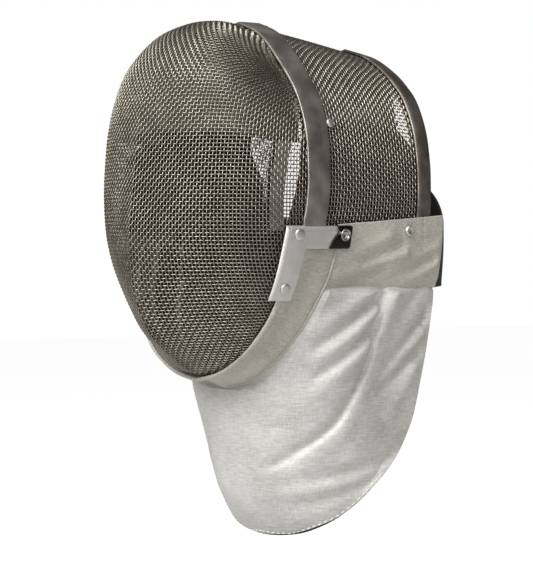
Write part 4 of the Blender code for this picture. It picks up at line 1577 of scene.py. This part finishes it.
@dataclass
class Bib:
    """The quilted bib that hangs from the binding and the panels, and its lining."""

    above: int = 60
    below: int = 84
    across: int = 110
    thickness: float = 3.0 * MM
    quilt_depth: float = 3.5
    quilt_width: float = 5.2
    quilt_step: float = 2.1
    quilt_swell: float = 2.6
    puff: float = 1.3
    puff_off: float = 9.0
    top_bulge: float = 2.4
    bulge_z: float = -208.0
    bulge_width: float = 11.0
    closing_mm: float = 1.6
    closing_over: float = 70.0
    deepest: float = 4.0
    warp_y: float = 20.0
    sewn: int = 6
    sewn_in: float = 0.8
    lining_in: float = 3.6
    lining_shows_z: float = -0.362
    lining_past: float = 1.5 * MM
    tuck_up: float = 5.5 * MM
    tuck_in: float = 0.05
    right_quiet_to: float = 54.0
    quiet_over: float = 26.0
    quietest: float = 0.06
    lining_steps: tuple[int, int, int] = (30, 40, 60)
    lining_drop: float = 1.3 * MM
    stitch_up: float = 3.0 * MM
    stitch_from: int = 42
    stitch_pitch: float = 5.6 * MM
    stitch: float = 3.4 * MM

    folds = (
        Fold((46, -211), (-4, -244), 6.5, 3.6),
        Fold((60, -214), (2, -255), 4.5, -5.4),
        Fold((54, -227), (4, -267), 5.5, 4.6),
        Fold((54, -240), (7, -280), 4.5, -5.4),
        Fold((50, -254), (8, -292), 7, 3.6),
        Fold((75, -214), (60, -246), 6, 3),
        Fold((100, -211), (82, -233), 5, -3),
        Fold((114, -232), (73, -272), 5, -4.4),
        Fold((106, -247), (70, -282), 6, 2.8),
        Fold((106, -262), (67, -294), 5, -3.8),
        Fold((101, -278), (80, -312), 7, 3),
        Fold((85, -351), (-4, -371), 6.5, -3.2),
        Fold((62, -363), (0, -381), 6, 1.8),
        Fold((66, -366), (14, -388), 6, -2.6),
        Fold((-30, -326), (-6, -323), 4, -1.2),
        Fold((-30, -309), (-10, -308), 3.5, -1),
    )

    def ring_x(self, level: dict[str, float], y: float) -> float:
        """Half-width of a ring.

        Args:
            level: The ring's row of the table.
            y: Back of the origin, in millimetres.

        Returns:
            The half-width there, in millimetres.
        """
        widest = level["widest_y"]
        if y >= widest:
            return level["half_width"] - self.closing_mm * ((y - widest) / self.closing_over) ** 2
        reach = min((widest - y) / (widest - level["front_y"]), 1.0)
        power = level["fullness"]
        return level["half_width"] * (1.0 - reach ** power) ** (1.0 / power)

    def ring(self, level: dict[str, float], count: int, start: float) -> Array:
        """Points evenly along a ring, from its start to its free rear edge.

        Args:
            level: The ring's row of the table.
            count: Number of steps along it.
            start: Where it starts, y in millimetres.

        Returns:
            Rows of x, y, z in millimetres.
        """
        shares = np.linspace(0.0, 1.0, 241) ** 2
        y = start + (level["rear_y"] - start) * shares
        z = level["z_front"] + (level["z_rear"] - level["z_front"]) * shares
        x = np.array([self.ring_x(level, value) for value in y])
        line = np.stack([x, y, z], axis=1)
        return points_along(line, np.linspace(0.0, path_lengths(line)[-1], count + 1))

    def quilt_offset(self, y: float, z: float) -> float:
        """Distance from the quilting seam in the side view.

        Args:
            y: Back of the origin, in millimetres.
            z: Up from it.

        Returns:
            The distance in millimetres, negative below the seam.
        """
        best, sign = 1000.0, 1.0
        for (y0, z0), (y1, z1) in zip(_QUILT, _QUILT[1:]):
            dy, dz = y1 - y0, z1 - z0
            f = min(max(((y - y0) * dy + (z - z0) * dz) / (dy * dy + dz * dz), 0.0), 1.0)
            distance = math.hypot(y - y0 - dy * f, z - z0 - dz * f)
            if distance < best:
                best = distance
                sign = 1.0 if dy * (z - z0) - dz * (y - y0) > 0 else -1.0
        return sign * best

    def relief(self, x: float, y: float, z: float, quiet_to: float) -> float:
        """How far the bib stands out from its rings.

        Args:
            x: Out from the centre plane, in millimetres.
            y: Back of the origin.
            z: Up from it.
            quiet_to: How far out the front stays smooth.

        Returns:
            The height over the ring, in millimetres.
        """
        offset = self.quilt_offset(y, z)
        height = -self.quilt_depth * bell(offset, self.quilt_width if offset > 0 else self.quilt_step)
        if offset > 0:
            height += self.quilt_swell * (1.0 - bell(offset, 3 * self.quilt_width))
        else:
            height += self.puff * bell(offset + self.puff_off, 8.0)
        height += sum(fold.lift(y, z) for fold in self.folds)
        height += 0.9 * noise.noise(Vector((y * 0.022, z * 0.05, 5.0)))
        height += 0.3 * noise.noise(Vector((y * 0.06, z * 0.16, 9.0)))
        top = max(min((BIB.rows[0][0] - z) / 4.0, 1.0), 0.0)
        quiet = min(max((x - quiet_to) / self.quiet_over, self.quietest), 1.0)
        bulge = self.top_bulge * bell(z - self.bulge_z, self.bulge_width)
        return (max(height * top, -self.deepest) + bulge) * quiet

    def half(self, above: int, below: int, across: int, lining: bool, quiet_to: float = 22.0) -> Array:
        """Rings of one half, as the wearer's left, from the panel's edge to the hem.

        Args:
            above: Rings above the chin.
            below: Rings below it.
            across: Steps along each ring.
            lining: Whether to make the lining's plain rings, inside the bib.
            quiet_to: How far out the front stays smooth, in millimetres.

        Returns:
            Grid of points in metres.
        """
        rows = []
        closing = [CHIN_LEVEL * (1.0 - (1.0 - f) ** 1.6) for f in spread(above, 0.0, 1.0)]
        for t in closing + spread(below, CHIN_LEVEL, BIB.last)[1:]:
            level = BIB.at(t)
            from_seam = t < CHIN_LEVEL
            start = seam_y(level["z_front"]) + 0.6 if from_seam else level["front_y"]
            fade = min((BIB.last - t) / 1.5, 1.0)
            row = []
            ring = self.ring(level, across, start)
            shift = seam_x(level["z_front"]) - ring[0][0] if from_seam else 0.0
            for i, (x, y, z) in enumerate(ring):
                free = min((across - i) / self.sewn, 1.0)
                out = -(self.lining_in + (self.deepest + 1.4) * fade)
                if not lining:
                    out = self.relief(x, y, z, quiet_to) * fade * free
                x += shift * bell(i, self.sewn * across / self.across)
                if from_seam and not lining:
                    near = min(i / self.sewn, 1.0)
                    out = out * near - self.sewn_in * (1.0 - near)
                reach_x = min(x / level["half_width"], 1.0)
                reach_y = -math.sqrt(1.0 - reach_x * reach_x)
                grown = 0.0 if i == 0 and not from_seam else x + out * reach_x
                row.append((grown * MM, (y + out * reach_y) * MM, z * MM))
            rows.append(row)
        grid = np.array(rows)
        grid[0] = grid[0] * ((1.0 - self.tuck_in, 1.0, 1.0)) + np.array((0.0, 0.0, self.tuck_up))
        return grid

    def whole(self, name: str, half: Array, right: Array, above: int) -> Piece:
        """Join the two halves, open in front above the chin.

        Args:
            name: The piece's name.
            half: Grid of the wearer's left half.
            right: Grid of the other half, as if it were on the left.
            above: Number of rings above the chin.

        Returns:
            The new object.
        """
        other = right * np.array((-1.0, 1.0, 1.0))
        along = arc_lengths(half, 1)
        for row, lengths in zip(half, along):
            lengths -= np.interp(self.warp_y * MM, row[:, 1], lengths)
        down = -half[..., 2]
        uv = np.stack([along, down], axis=2)
        far_uv = np.stack([-along, down], axis=2)
        ids = numbered(half.shape)
        far = ids + ids.size
        far[above:, 0] = ids[above:, 0]
        faces, corners = [], []
        for index, coords, turn in ((ids, uv, 1), (far, far_uv, -1)):
            faces.append(cells(index)[:, ::turn])
            corners.append(cells(coords)[:, ::turn].reshape(-1, 2))
        points = np.concatenate([half.reshape(-1, 3), other.reshape(-1, 3)])
        return make_object(name, *without_spares(points, np.concatenate(faces)), np.concatenate(corners))

    def stitches(self, half: Array, thread: Material) -> None:
        """Sew the hem: single stitches up the free edge and along the bottom, a little inside both.

        Args:
            half: Grid of the wearer's left half.
            thread: The thread's material.
        """
        line, out = [], []
        normals = grid_normals(half)
        for row in range(self.above + self.stitch_from, half.shape[0] - 2):
            line.append(points_along(half[row, ::-1], self.stitch_up))
            out.append(normals[row, -3])
        for column in range(half.shape[1] - 3, -1, -1):
            line.append(points_along(half[::-1, column], self.stitch_up))
            out.append(normals[-3, column])
        spots, out = np.array(line), np.array(out)
        spots += out * 0.15 * MM
        runs = []
        for start in np.arange(0.0, path_lengths(spots)[-1] - self.stitch, self.stitch_pitch):
            at = np.linspace(start, start + self.stitch, 5)
            run = points_along(spots, at)
            away = points_along(spots, at, out)
            run += away * np.array((-0.35, 0.1, 0.2, 0.1, -0.35))[:, None] * MM
            for sign in (1.0, -1.0):
                flip = np.array((sign, 1.0, 1.0))
                runs.append((run * flip, away * flip))
        seat(WireCloth(wire=0.7 * MM, sides=6).tubes("hem_stitches", runs), thread, "bib_cloth")

    def build(self, finish: Material, lining: Material,
              thread: Material) -> None:
        """Make the bib, its stitches and its lining.

        Args:
            finish: The bib's material.
            lining: The lining's material.
            thread: Material of the hem's stitches.
        """
        half = self.half(self.above, self.below, self.across, lining=False)
        right = self.half(self.above, self.below, self.across, lining=False, quiet_to=self.right_quiet_to)
        piece = self.whole("quilted_bib", half, right, self.above)
        thicken(piece, self.thickness, 0.9 * MM)
        seat(piece, finish, "bib_cloth", "bib")
        self.stitches(half, thread)
        inner = self.half(*self.lining_steps, lining=True)
        inner[-1, :, 2] -= self.lining_drop
        low = inner[:, -1, 2] < self.lining_shows_z
        low[-1] = False
        inner[low, -1, 1] += self.lining_past
        inner[low, -1, 2] -= self.lining_past
        inside = self.whole("bib_inner_cloth", inner, inner, self.lining_steps[0])
        thicken(inside, 1.4 * MM, 0.4 * MM)
        seat(inside, lining, "lining_cloth", "bib_lining")


# ---- pads, strap


def cage_x(y: float, z: float) -> float:
    """Half-width of the cages' outer face.

    Args:
        y: Metres back from the origin.
        z: Metres up from it.

    Returns:
        Half-width in metres.
    """
    low, high = 0.0, 1.0
    for _ in range(24):
        middle = (low + high) / 2
        front, back = rear_point(middle, 0.0), rear_point(middle, 1.0)
        u = min(max((y - front[1]) / (back[1] - front[1]), 0.0), 1.0)
        if rear_point(middle, u)[2] > z:
            low = middle
        else:
            high = middle
    return rear_point(low, u)[0]


EAR_COLUMNS = ("z", "fall", "front_y", "rear_y")


@dataclass
class Padding:
    """Foam pads inside the cage: one loose liner that sits a little twisted, so its ears differ."""

    thickness_mm: float = 6.5
    wall_mm: float = 2.0
    crown_rear: float = 0.86
    crown_cut: float = 0.12
    crown_end: float = 0.56
    brow_rows: tuple[float, float] = (0.55, 6.05)
    brow_turn: float = 82.0
    brow_clear_mm: float = 1.3
    crown_clear_mm: float = 0.6
    ear_clear_mm: float = 0.7

    ears = {
        Side.LEFT: Table(EAR_COLUMNS, (
            (-62, 9, -15, 91), (-73, 4, -17, 87.5), (-85, 0, -19, 94),
            (-96, 0, -24, 102), (-114, 0, -27, 103), (-137, 0, -33.5, 102),
            (-163, 0, -42, 101))),
        Side.RIGHT: Table(EAR_COLUMNS, (
            (-62, 7, -15, 76), (-73, 3, -17, 73), (-84, 0, -21, 72.5),
            (-90, 0, -42, 74.5), (-99, 0, -54, 79.5), (-114, 0, -59, 88.5),
            (-137, 0, -61, 94), (-163, 0, -61, 98))),
    }

    def pillow(self, name: str, grid: Array, clear_mm: float) -> Piece:
        """Make a pad that lines a surface.

        Args:
            name: The piece's name.
            grid: The cage's outer face over the pad.
            clear_mm: Space between the wires and the pad.

        Returns:
            The new object.
        """
        rows, columns = grid.shape[:2]
        normals = grid_normals(grid)
        v, u = np.meshgrid(np.linspace(0, 1, rows), np.linspace(0, 1, columns), indexing="ij")
        edge = np.minimum(np.minimum(u, 1 - u) * 14, np.minimum(v, 1 - v) * 10)
        round_over = np.sqrt(1 - (1 - np.clip(edge, 0, 1)) ** 2)
        depth = self.thickness_mm * (0.25 + 0.75 * round_over)
        outer = grid - normals * (self.wall_mm + clear_mm) * MM
        inner = grid - normals * (self.wall_mm + clear_mm + depth)[..., None] * MM
        ring = np.concatenate([outer, inner[:, ::-1]], axis=1)
        piece = grid_object(name, ring, wrap=True)
        return piece

    def build(self, cage: FrontCage, foam: Material, cover: Material) -> None:
        """Make the forehead, crown and side pads.

        Args:
            cage: The front cage, for its shape.
            foam: Material of the forehead and crown pads.
            cover: Material of the side pads.
        """
        rows = []
        for t in spread(40, *self.brow_rows):
            half = [cage.point(t, a) for a in spread(36, 0.0, math.radians(self.brow_turn))]
            rows.append([(-x, y, z) for x, y, z in half[:0:-1]] + half)
        pad = self.pillow("brow_pad", np.array(rows), self.brow_clear_mm)
        seat(pad, foam, "pad_foam", "forehead_pad")
        rows = []
        for t in spread(40, -self.crown_end, self.crown_end):
            rear = self.crown_rear - self.crown_cut * (t / self.crown_end) ** 4
            line = [rear_point(abs(t), u) for u in spread(24, 0.0, rear)]
            rows.append([(math.copysign(x, t) if t else 0.0, y, z) for x, y, z in line])
        pad = self.pillow("crown_cushion", np.array(rows), self.crown_clear_mm)
        seat(pad, foam, "pad_foam", "crown_pad")
        for side in Side:
            table = self.ears[side]
            rows = []
            for t in spread(40, 0.0, table.last):
                row = table.at(t)
                points = []
                for u in spread(40, 0.0, 1.0):
                    y = row["front_y"] + (row["rear_y"] - row["front_y"]) * u
                    z = row["z"] - row["fall"] * u
                    x = cage_x(y * MM, z * MM) - max(-y - 30.0, 0.0) * 0.10 * MM
                    points.append((side.value * x, y * MM, z * MM))
                rows.append(points if side is Side.LEFT else points[::-1])
            pad = self.pillow("ear_pad_" + side.word, np.array(rows), self.ear_clear_mm)
            seat(pad, cover, "pad_cloth", "side_pad_" + side.word)


@dataclass
class BackStrap:
    """The contoured elastic behind the head, sewn inside both side panels."""

    thickness: float = 3.0 * MM
    sewn_y: float = 98.0
    end_y: float = 113.0
    reach: float = 42.0
    squareness: float = 2.6
    top: tuple[float, float] = (-116.0, -51.0)
    bottom: tuple[float, float] = (-211.0, 3.5)
    follows: tuple[float, float] = (-205.0, -168.0)
    lean: float = 0.035
    clear_mm: float = 0.8

    def half_width(self, y: float, z: float) -> float:
        """Half-width between the side panels' inner faces.

        Args:
            y: Back of the origin, in millimetres.
            z: Up from it.

        Returns:
            The half-width there, in millimetres.
        """
        panel = SidePanel(Side.LEFT)
        heights = [(-panel.plain(t, 1.0)[2], t) for t in spread(40, 0.0, PANEL.last)]
        t = float(np.interp(-z, [h for h, _ in heights], [k for _, k in heights]))
        front, rear = panel.plain(t, 0.0), panel.plain(t, 1.0)
        u = min((y - front[1]) / (rear[1] - front[1]), 1.0)
        return panel.plain(t, u)[0] - panel.thickness / MM - self.clear_mm

    def build(self, finish: Material) -> None:
        """Make the strap.

        Args:
            finish: Its material.
        """
        power = 2.0 / self.squareness
        between = (self.sewn_y + self.end_y) / 2
        stations = [(-1.0, self.sewn_y), (-1.0, between)]
        for angle in spread(72, -90.0, 90.0):
            side, back = math.sin(math.radians(angle)), max(math.cos(math.radians(angle)), 0.0)
            across = math.copysign(abs(side) ** power, side)
            stations.append((across, self.end_y + self.reach * back ** power))
        stations += [(1.0, between), (1.0, self.sewn_y)]
        rows = []
        for across, y in stations:
            end = abs(across) ** 3
            top, bottom = (middle + change * end for middle, change in (self.top, self.bottom))
            row = []
            for u in spread(20, 0.0, 1.0):
                z = top + (bottom - top) * u
                half = self.half_width(min(y, self.end_y), min(max(z, self.follows[0]), self.follows[1]))
                lean = self.lean * (1.0 - u) * max(y - self.end_y, 0.0)
                row.append((across * half * MM, (y - lean) * MM, z * MM))
            rows.append(row)
        piece = grid_object("contoured_strap", np.array(rows))
        thicken(piece, self.thickness, 0.8 * MM)
        seat(piece, finish, "strap_elastic", "back_strap")


# ---- ear bracket


@dataclass
class EarBracket:
    """An L pressed from steel plate, with turned-down edges, and the black clip at its end."""

    side: Side
    thickness: float = 1.5 * MM
    standoff: float = 4.2 * MM
    leg_bend_mm: float = 2.8
    leg_width_mm: float = 20.0
    top_bend_mm: float = 6.4
    top_width_mm: float = 18.6
    edge_drop_mm: float = 15.2
    notch: float = 0.15
    turn_y: float = -42.0
    turn_slope: float = 0.08

    ribs = (0.0, 0.01, 0.025, 0.05, 0.08, 0.12, 0.16, 0.2, 0.24, 0.3, 0.4, 0.5, 0.6, 0.7, 0.8, 0.9, 1.0)
    foot = ((-54.7, -218.0), (-33.7, -218.4))
    corner = ((-46.1, -158.0), (-26.5, -176.6))
    end = Table(("y", "z"), ((6.6, -158.0), (6.2, -162.6), (2.2, -167.3), (-0.9, -172.0), (-2.8, -176.6)))
    clip_corners = ((17.1, -174.0, 2.6, -90.0), (18.6, -160.2, 2.2, 0.0))
    clip_middle = (9.0, -167.3)
    clip_rings = ((1.0, 0.0), (1.0, 1.6), (0.96, 2.1), (0.88, 2.35), (0.6, 2.45), (0.0, 2.5))

    def stand(self, y: float, z: float) -> float:
        """How far from the centre plane the bracket's inner face is, in metres; y and z in millimetres."""
        turn = max(self.turn_y - y, 0.0) * self.turn_slope * MM
        return side_x(z * MM) + self.standoff - turn

    def plate(self) -> Piece:
        """Make the pressed plate: a leg and a top, mitred, notched at the outer corner.

        Returns:
            The new object.
        """
        grid = []
        leg_steps = spread(14, 0.0, 0.975) + [1.0]
        top_steps = [0.03] + spread(12, 0.06, 1.0)
        for f, leg in [(f, True) for f in leg_steps] + [(f, False) for f in top_steps]:
            row = []
            for u in self.ribs:
                mitre = [a + (b - a) * u for a, b in zip(*self.corner)]
                if leg:
                    other = [a + (b - a) * u for a, b in zip(*self.foot)]
                    y, z = (o + (m - o) * f for o, m in zip(other, mitre))
                    radius = self.leg_bend_mm / self.leg_width_mm
                else:
                    tip = self.end.at(u * self.end.last)
                    y, z = (m + (tip[key] - m) * f for m, key in zip(mitre, ("y", "z")))
                    radius = self.top_bend_mm / self.top_width_mm
                depth = 0.0
                if u < radius:
                    depth = radius * (1.0 - math.sqrt(1.0 - (1.0 - u / radius) ** 2)) * self.edge_drop_mm
                x = self.stand(y, z) + self.thickness - depth * MM
                row.append((self.side.value * x, y * MM, z * MM))
            grid.append(row if self.side is Side.RIGHT else row[::-1])
        points = np.array(grid)
        rows, columns = points.shape[:2]
        faces = cells(numbered(points.shape)).reshape(rows - 1, columns - 1, 4)
        cut = np.array(self.ribs[:-1]) < self.notch
        keep = np.ones((rows - 1, columns - 1), bool)
        corner_row = len(leg_steps) - 1
        keep[corner_row - 1:corner_row + 1, cut if self.side is Side.RIGHT else cut[::-1]] = False
        spots, faces = without_spares(points.reshape(-1, 3), faces[keep])
        piece = make_object("pressed_bracket_" + self.side.word, spots, faces)
        add_modifier(piece, "SOLIDIFY", thickness=self.thickness, offset=-1.0)
        add_modifier(piece, "BEVEL", width=0.3 * MM, segments=2, limit_method="ANGLE",
                     angle_limit=math.radians(50))
        return piece

    def clip(self) -> Piece:
        """Make the moulded clip, with rounded corners and a crowned face.

        Returns:
            The new object.
        """
        outline: list[tuple[float, float]] = []
        for u in spread(10, 0.0, 1.0):
            tip = self.end.at(u * self.end.last)
            outline.append((tip["y"] + 0.4 - (1.6 if u < 0.1 else 0.0), tip["z"]))
        for cy, cz, radius, start in self.clip_corners:
            for angle in spread(5, start, start + 90.0):
                turn = math.radians(angle)
                outline.append((cy + radius * math.cos(turn), cz + radius * math.sin(turn)))
        flat = np.array(outline)
        middle = np.array(self.clip_middle)
        rings = []
        for share, height in self.clip_rings:
            ring = middle + (flat - middle) * share
            x = [self.stand(y, z) + height * MM for y, z in ring]
            rings.append([(self.side.value * a, y * MM, z * MM) for a, (y, z) in zip(x, ring)])
        points = np.array(rings)
        if self.side is Side.RIGHT:
            points = points[:, ::-1]
        count = points.shape[1]
        last = len(rings) - 1
        ids = numbered((last, count))
        closed = np.concatenate([ids, ids[:, :1]], axis=1)
        faces = cells(closed)[:, [0, 3, 2, 1]].tolist()
        faces += [[a, b, ids.size] for a, b in zip(closed[-1, :-1].tolist(), closed[-1, 1:].tolist())]
        faces.append(ids[0][::-1].tolist())
        spots = np.concatenate([points[:last].reshape(-1, 3), points[last, :1]])
        piece = make_object("moulded_clip_" + self.side.word, spots, faces)
        piece.data.set_sharp_from_angle(angle=math.radians(60))
        return piece

    def build(self, steel: Material, plastic: Material) -> None:
        """Make the bracket and its clip.

        Args:
            steel: The bracket's material.
            plastic: The clip's material.
        """
        seat(self.plate(), steel, "bracket_steel", "ear_bracket_" + self.side.word)
        seat(self.clip(), plastic, "clip_plastic", "bracket_clip_" + self.side.word)


@dataclass
class Fasteners:
    """Rivets, snap studs and the flared screws, each turned and set where its node is."""

    turns: int = 28

    dome = ((0.0, 0.74), (0.5, 0.71), (0.76, 0.62), (0.9, 0.46),
            (0.97, 0.28), (1, 0.1), (1, 0), (0, 0))
    stud = ((0.0, 0.62), (0.3, 0.66), (0.5, 0.8), (0.66, 1.0), (0.8, 0.98),
            (0.9, 0.7), (1, 0.3), (1, 0), (0, 0))
    flare = ((0.0, 0.9), (0.3, 0.92), (0.52, 1.05), (0.66, 1.5), (0.78, 2.0), (0.9, 2.12), (1.0, 2.0),
             (1, 1.86), (0.86, 1.7), (0.7, 1.3), (0.62, 0.6), (0.62, 0), (0, 0))

    def turned(self, name: str, profile: tuple[tuple[float, float], ...], radius: float,
               height: float) -> Piece:
        """Turn a profile about its axis.

        Args:
            name: The piece's name.
            profile: Shares of radius and height, from the top of the head down to its underside.
            radius: In metres.
            height: In metres.

        Returns:
            The new object, with its axis along +Z.
        """
        points = [(0.0, 0.0, profile[0][1] * height)]
        rings = profile[1:-1]
        for share, rise in rings:
            for k in range(self.turns):
                angle = 2 * math.pi * k / self.turns
                out = radius * share
                points.append((out * math.cos(angle), out * math.sin(angle), rise * height))
        points.append((0.0, 0.0, profile[-1][1] * height))
        faces = []
        for k in range(self.turns):
            j = (k + 1) % self.turns
            faces.append([0, 1 + k, 1 + j])
            for r in range(len(rings) - 1):
                a, b = 1 + r * self.turns, 1 + (r + 1) * self.turns
                faces.append([a + k, b + k, b + j, a + j])
            b = 1 + (len(rings) - 1) * self.turns
            faces.append([b + k, len(points) - 1, b + j])
        piece = make_object(name, np.array(points), faces)
        piece.data.set_sharp_from_angle(angle=math.radians(65))
        return piece

    def set_on(self, piece: Piece, node: str, tilt: float, side: float) -> None:
        """Put a head where its node is.

        Args:
            piece: The turned head.
            node: The construction node.
            tilt: Angle from straight up to its axis, towards the side, in radians.
            side: Sign of the side.
        """
        low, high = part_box(node)
        axis = Vector((side * math.sin(tilt), 0.0, math.cos(tilt)))
        middle = (low + high) / 2
        size = high - low
        thick = abs(axis.x) * size.x + abs(axis.z) * size.z
        reach = min(thick, 2.4 * MM)
        turn = Matrix.Rotation(side * tilt, 4, "Y")
        piece.data.transform(Matrix.Translation(middle - axis * reach / 2) @ turn)

    def build(self, steel: Material, screw: Material) -> None:
        """Make every head.

        Args:
            steel: Material of rivets and snaps.
            screw: Material of the flared screws.
        """
        for side in Side:
            for name, profile, radius, height, finish, slot in (
                    ("bracket_rivet_upper", self.dome, 4.7, 1.9, steel, "rivet_steel"),
                    ("bracket_rivet_lower", self.dome, 4.5, 1.9, steel, "rivet_steel"),
                    ("panel_snap", self.stud, 4.6, 2.1, steel, "rivet_steel"),
                    ("clip_screw", self.flare, 5.0, 2.6, screw, "screw_steel")):
                node = name + "_" + side.word
                low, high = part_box(node)
                z = (low.z + high.z) / 2
                slope = 0.0
                if name != "panel_snap":
                    slope = math.atan2(side_x(z + 4 * MM) - side_x(z - 4 * MM), 8 * MM)
                head = self.turned("turned_" + node, profile, radius * MM, height * MM)
                self.set_on(head, node, math.pi / 2 + slope, side.value)
                seat(head, finish, slot, node)
        for node, row, sign in (("cage_rivet_left", 5.25, 1), ("cage_rivet_right", 5.25, -1),
                                ("cage_rivet_crown", 0.0, 1)):
            above, below = rear_point(max(row - 0.1, 0.0) / 9, 0.13), rear_point((row + 0.1) / 9, 0.13)
            tilt = 0.0 if row == 0.0 else math.atan2(above[2] - below[2], below[0] - above[0])
            head = self.turned("turned_" + node, self.dome, 3.9 * MM, 3.2 * MM)
            self.set_on(head, node, tilt, sign)
            seat(head, steel, "rivet_steel", node)


# ---- studio


@dataclass(frozen=True)
class Studio:
    """Camera at the photograph's angle, pale floor and soft light."""

    azimuth: float = 51.5
    elevation: float = 1.0
    distance: float = 2.19
    target: Point = (0.0, 0.0188, -0.2046)
    focal_px: float = 2603.0
    frame_px: float = 533.0
    floor_z: float = -0.58
    floor_half: float = 7.0
    ambient: float = 0.13
    table_glow: float = 0.2
    table_shine: float = 0.9

    def aim(self, thing: Piece, azimuth: float, elevation: float, distance: float) -> None:
        """Put a camera or lamp in the scene, facing the mask.

        Args:
            thing: The camera or lamp.
            azimuth: Round the mask in degrees, from the front to the wearer's left.
            elevation: Above the horizon in degrees.
            distance: From the mask in metres.
        """
        a, e = math.radians(azimuth), math.radians(elevation)
        back = Vector((math.sin(a) * math.cos(e), -math.cos(a) * math.cos(e), math.sin(e)))
        thing.location = Vector(self.target) + back * distance
        thing.rotation_mode = "QUATERNION"
        thing.rotation_quaternion = (-back).to_track_quat("-Z", "Y")
        bpy.context.scene.collection.objects.link(thing)

    def camera(self) -> None:
        """Place the camera."""
        data = bpy.data.cameras.new("studio_camera")
        data.sensor_fit = "HORIZONTAL"
        data.sensor_width = 36.0
        data.lens = self.focal_px * data.sensor_width / self.frame_px
        data.clip_end = 50.0
        camera = bpy.data.objects.new("studio_camera", data)
        self.aim(camera, self.azimuth, self.elevation, self.distance)
        bpy.context.scene.camera = camera

    def lamp(self, name: str, azimuth: float, elevation: float, distance: float, size: float,
             power: float) -> None:
        """Hang a soft box that faces the mask.

        Args:
            name: Its name.
            azimuth: Round the mask in degrees, as the camera's.
            elevation: Above the horizon in degrees.
            distance: From the mask in metres.
            size: Edge of the soft box in metres.
            power: In watts.
        """
        data = bpy.data.lights.new(name, "AREA")
        data.size = size
        data.energy = power
        self.aim(bpy.data.objects.new(name, data), azimuth, elevation, distance)

    def floor(self) -> None:
        """Lay the floor below the mask, which is held up as a head holds it."""
        signs = ((-1, -1), (1, -1), (1, 1), (-1, 1))
        spots = np.array([(sx * self.floor_half, sy * self.floor_half, self.floor_z) for sx, sy in signs])
        floor = make_object("studio_floor", spots, [[0, 1, 2, 3]])
        material, tree, shader, place = new_material("opal acrylic light table")
        mottle = add_node(tree, "TexNoise", {"Scale": 3.0, "Detail": 2.0}, {"Vector": place["Object"]})
        colour = two_colours(tree, mottle.outputs["Fac"], "b2b2b0", "bababa")
        path = add_node(tree, "LightPath")
        glow = add_node(tree, "MapRange", {3: self.table_glow, 4: self.table_shine},
                        {"Value": path.outputs["Is Camera Ray"]})
        feed(tree, shader, {"Roughness": 0.8, "Emission Color": linear("ffffff")},
             {"Base Color": colour, "Emission Strength": glow.outputs["Result"]})
        floor.data.materials.append(material)

    def sky(self) -> None:
        """White surroundings: white to the camera, dimmer as a light so that folds keep their shade."""
        world = bpy.data.worlds.new("studio_air")
        world.use_nodes = True
        tree = world.node_tree
        path = add_node(tree, "LightPath")
        strength = add_node(tree, "MapRange", {3: self.ambient, 4: 1.0},
                            {"Value": path.outputs["Is Camera Ray"]})
        feed(tree, tree.nodes["Background"], {"Color": (1.0, 1.0, 1.0, 1.0)},
             {"Strength": strength.outputs["Result"]})
        bpy.context.scene.world = world

    def build(self) -> None:
        """Set up the studio."""
        self.camera()
        self.sky()
        self.floor()
        self.lamp("key_box", 10.0, 36.0, 2.2, 1.4, 68.0)
        self.lamp("top_box", 62.0, 64.0, 2.4, 1.7, 24.0)
        self.lamp("fill_box", 68.0, 22.0, 2.4, 1.4, 15.0)
        bpy.context.scene.view_settings.view_transform = "Standard"


# ---- main


def corners(box: tuple[Vector, Vector]) -> list[list[float]]:
    """A box as plain lists of numbers."""
    return [list(corner) for corner in box]


def main() -> None:
    """Load the frame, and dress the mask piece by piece."""
    logging.basicConfig(level=logging.INFO, format="%(message)s")
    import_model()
    Studio().build()
    wire = DrawnWire().build()
    cloth = WireCloth()
    front = FrontCage(cloth)
    front.build(wire)
    # Painted light: the rear cage is the same wire cloth as the front, but its copy of the wire has lighter
    # colours that stand in for light, a lit copy of the front's finish.
    RearCage(cloth).build(DrawnWire("938c81", "a9a297").build())
    bands = SteelBands()
    bands.build_front(RolledStrip("cold-rolled steel strip", "8d867f", "aba49c", (0.4, 0.54)).build())
    # Painted light: a pale cloth that stands in for the white surroundings seen through the cage at its back
    # edge.
    painted_light_sheet = PlainCloth("cotton twill tape", "d9d6cd", "f0ede6", 0.9, 0.12).build()
    bands.build_rear(RolledStrip("cold-rolled edge strip", "78716a", "948d85", (0.36, 0.5)).build(), painted_light_sheet)
    black = PlainCloth("black cotton drill", "0d0c0b", "1c1a18").build()
    edging = ConductiveCloth("conductive brocade edging", "8e8b80", "c0bdb2", slub_mm=6.0).build()
    brocade = ConductiveCloth("conductive brocade", "a19f99", "cfcdc8", thread_mm=1.1, slub_mm=12.0).build()
    Binding().build(edging, black)
    for side in Side:
        SidePanel(side).build(edging, black)
    Bib().build(brocade, black, PlainCloth("spun polyester thread", "d6d3cb", "e9e6de", 0.3, 0.05).build())
    foam = PlainCloth("brushed knit over foam", "4d4842", "6a645c", 1.6, 0.4).build()
    Padding().build(front, foam, black)
    BackStrap().build(RibbedElastic().build())
    plate = TumbledSteel("tumbled steel plate", "cac7c2", "d6d3ce", 0.6).build()
    plastic = MouldedPlastic().build()
    for side in Side:
        EarBracket(side).build(plate, plastic)
    head = TumbledSteel("nickel-plated brass", "c6c3be", "d4d1cc", 0.42).build()
    screw = TumbledSteel("bright nickel", "8e8b87", "bdbab6", 0.16).build()
    Fasteners().build(head, screw)


if __name__ == "__main__":
    main()
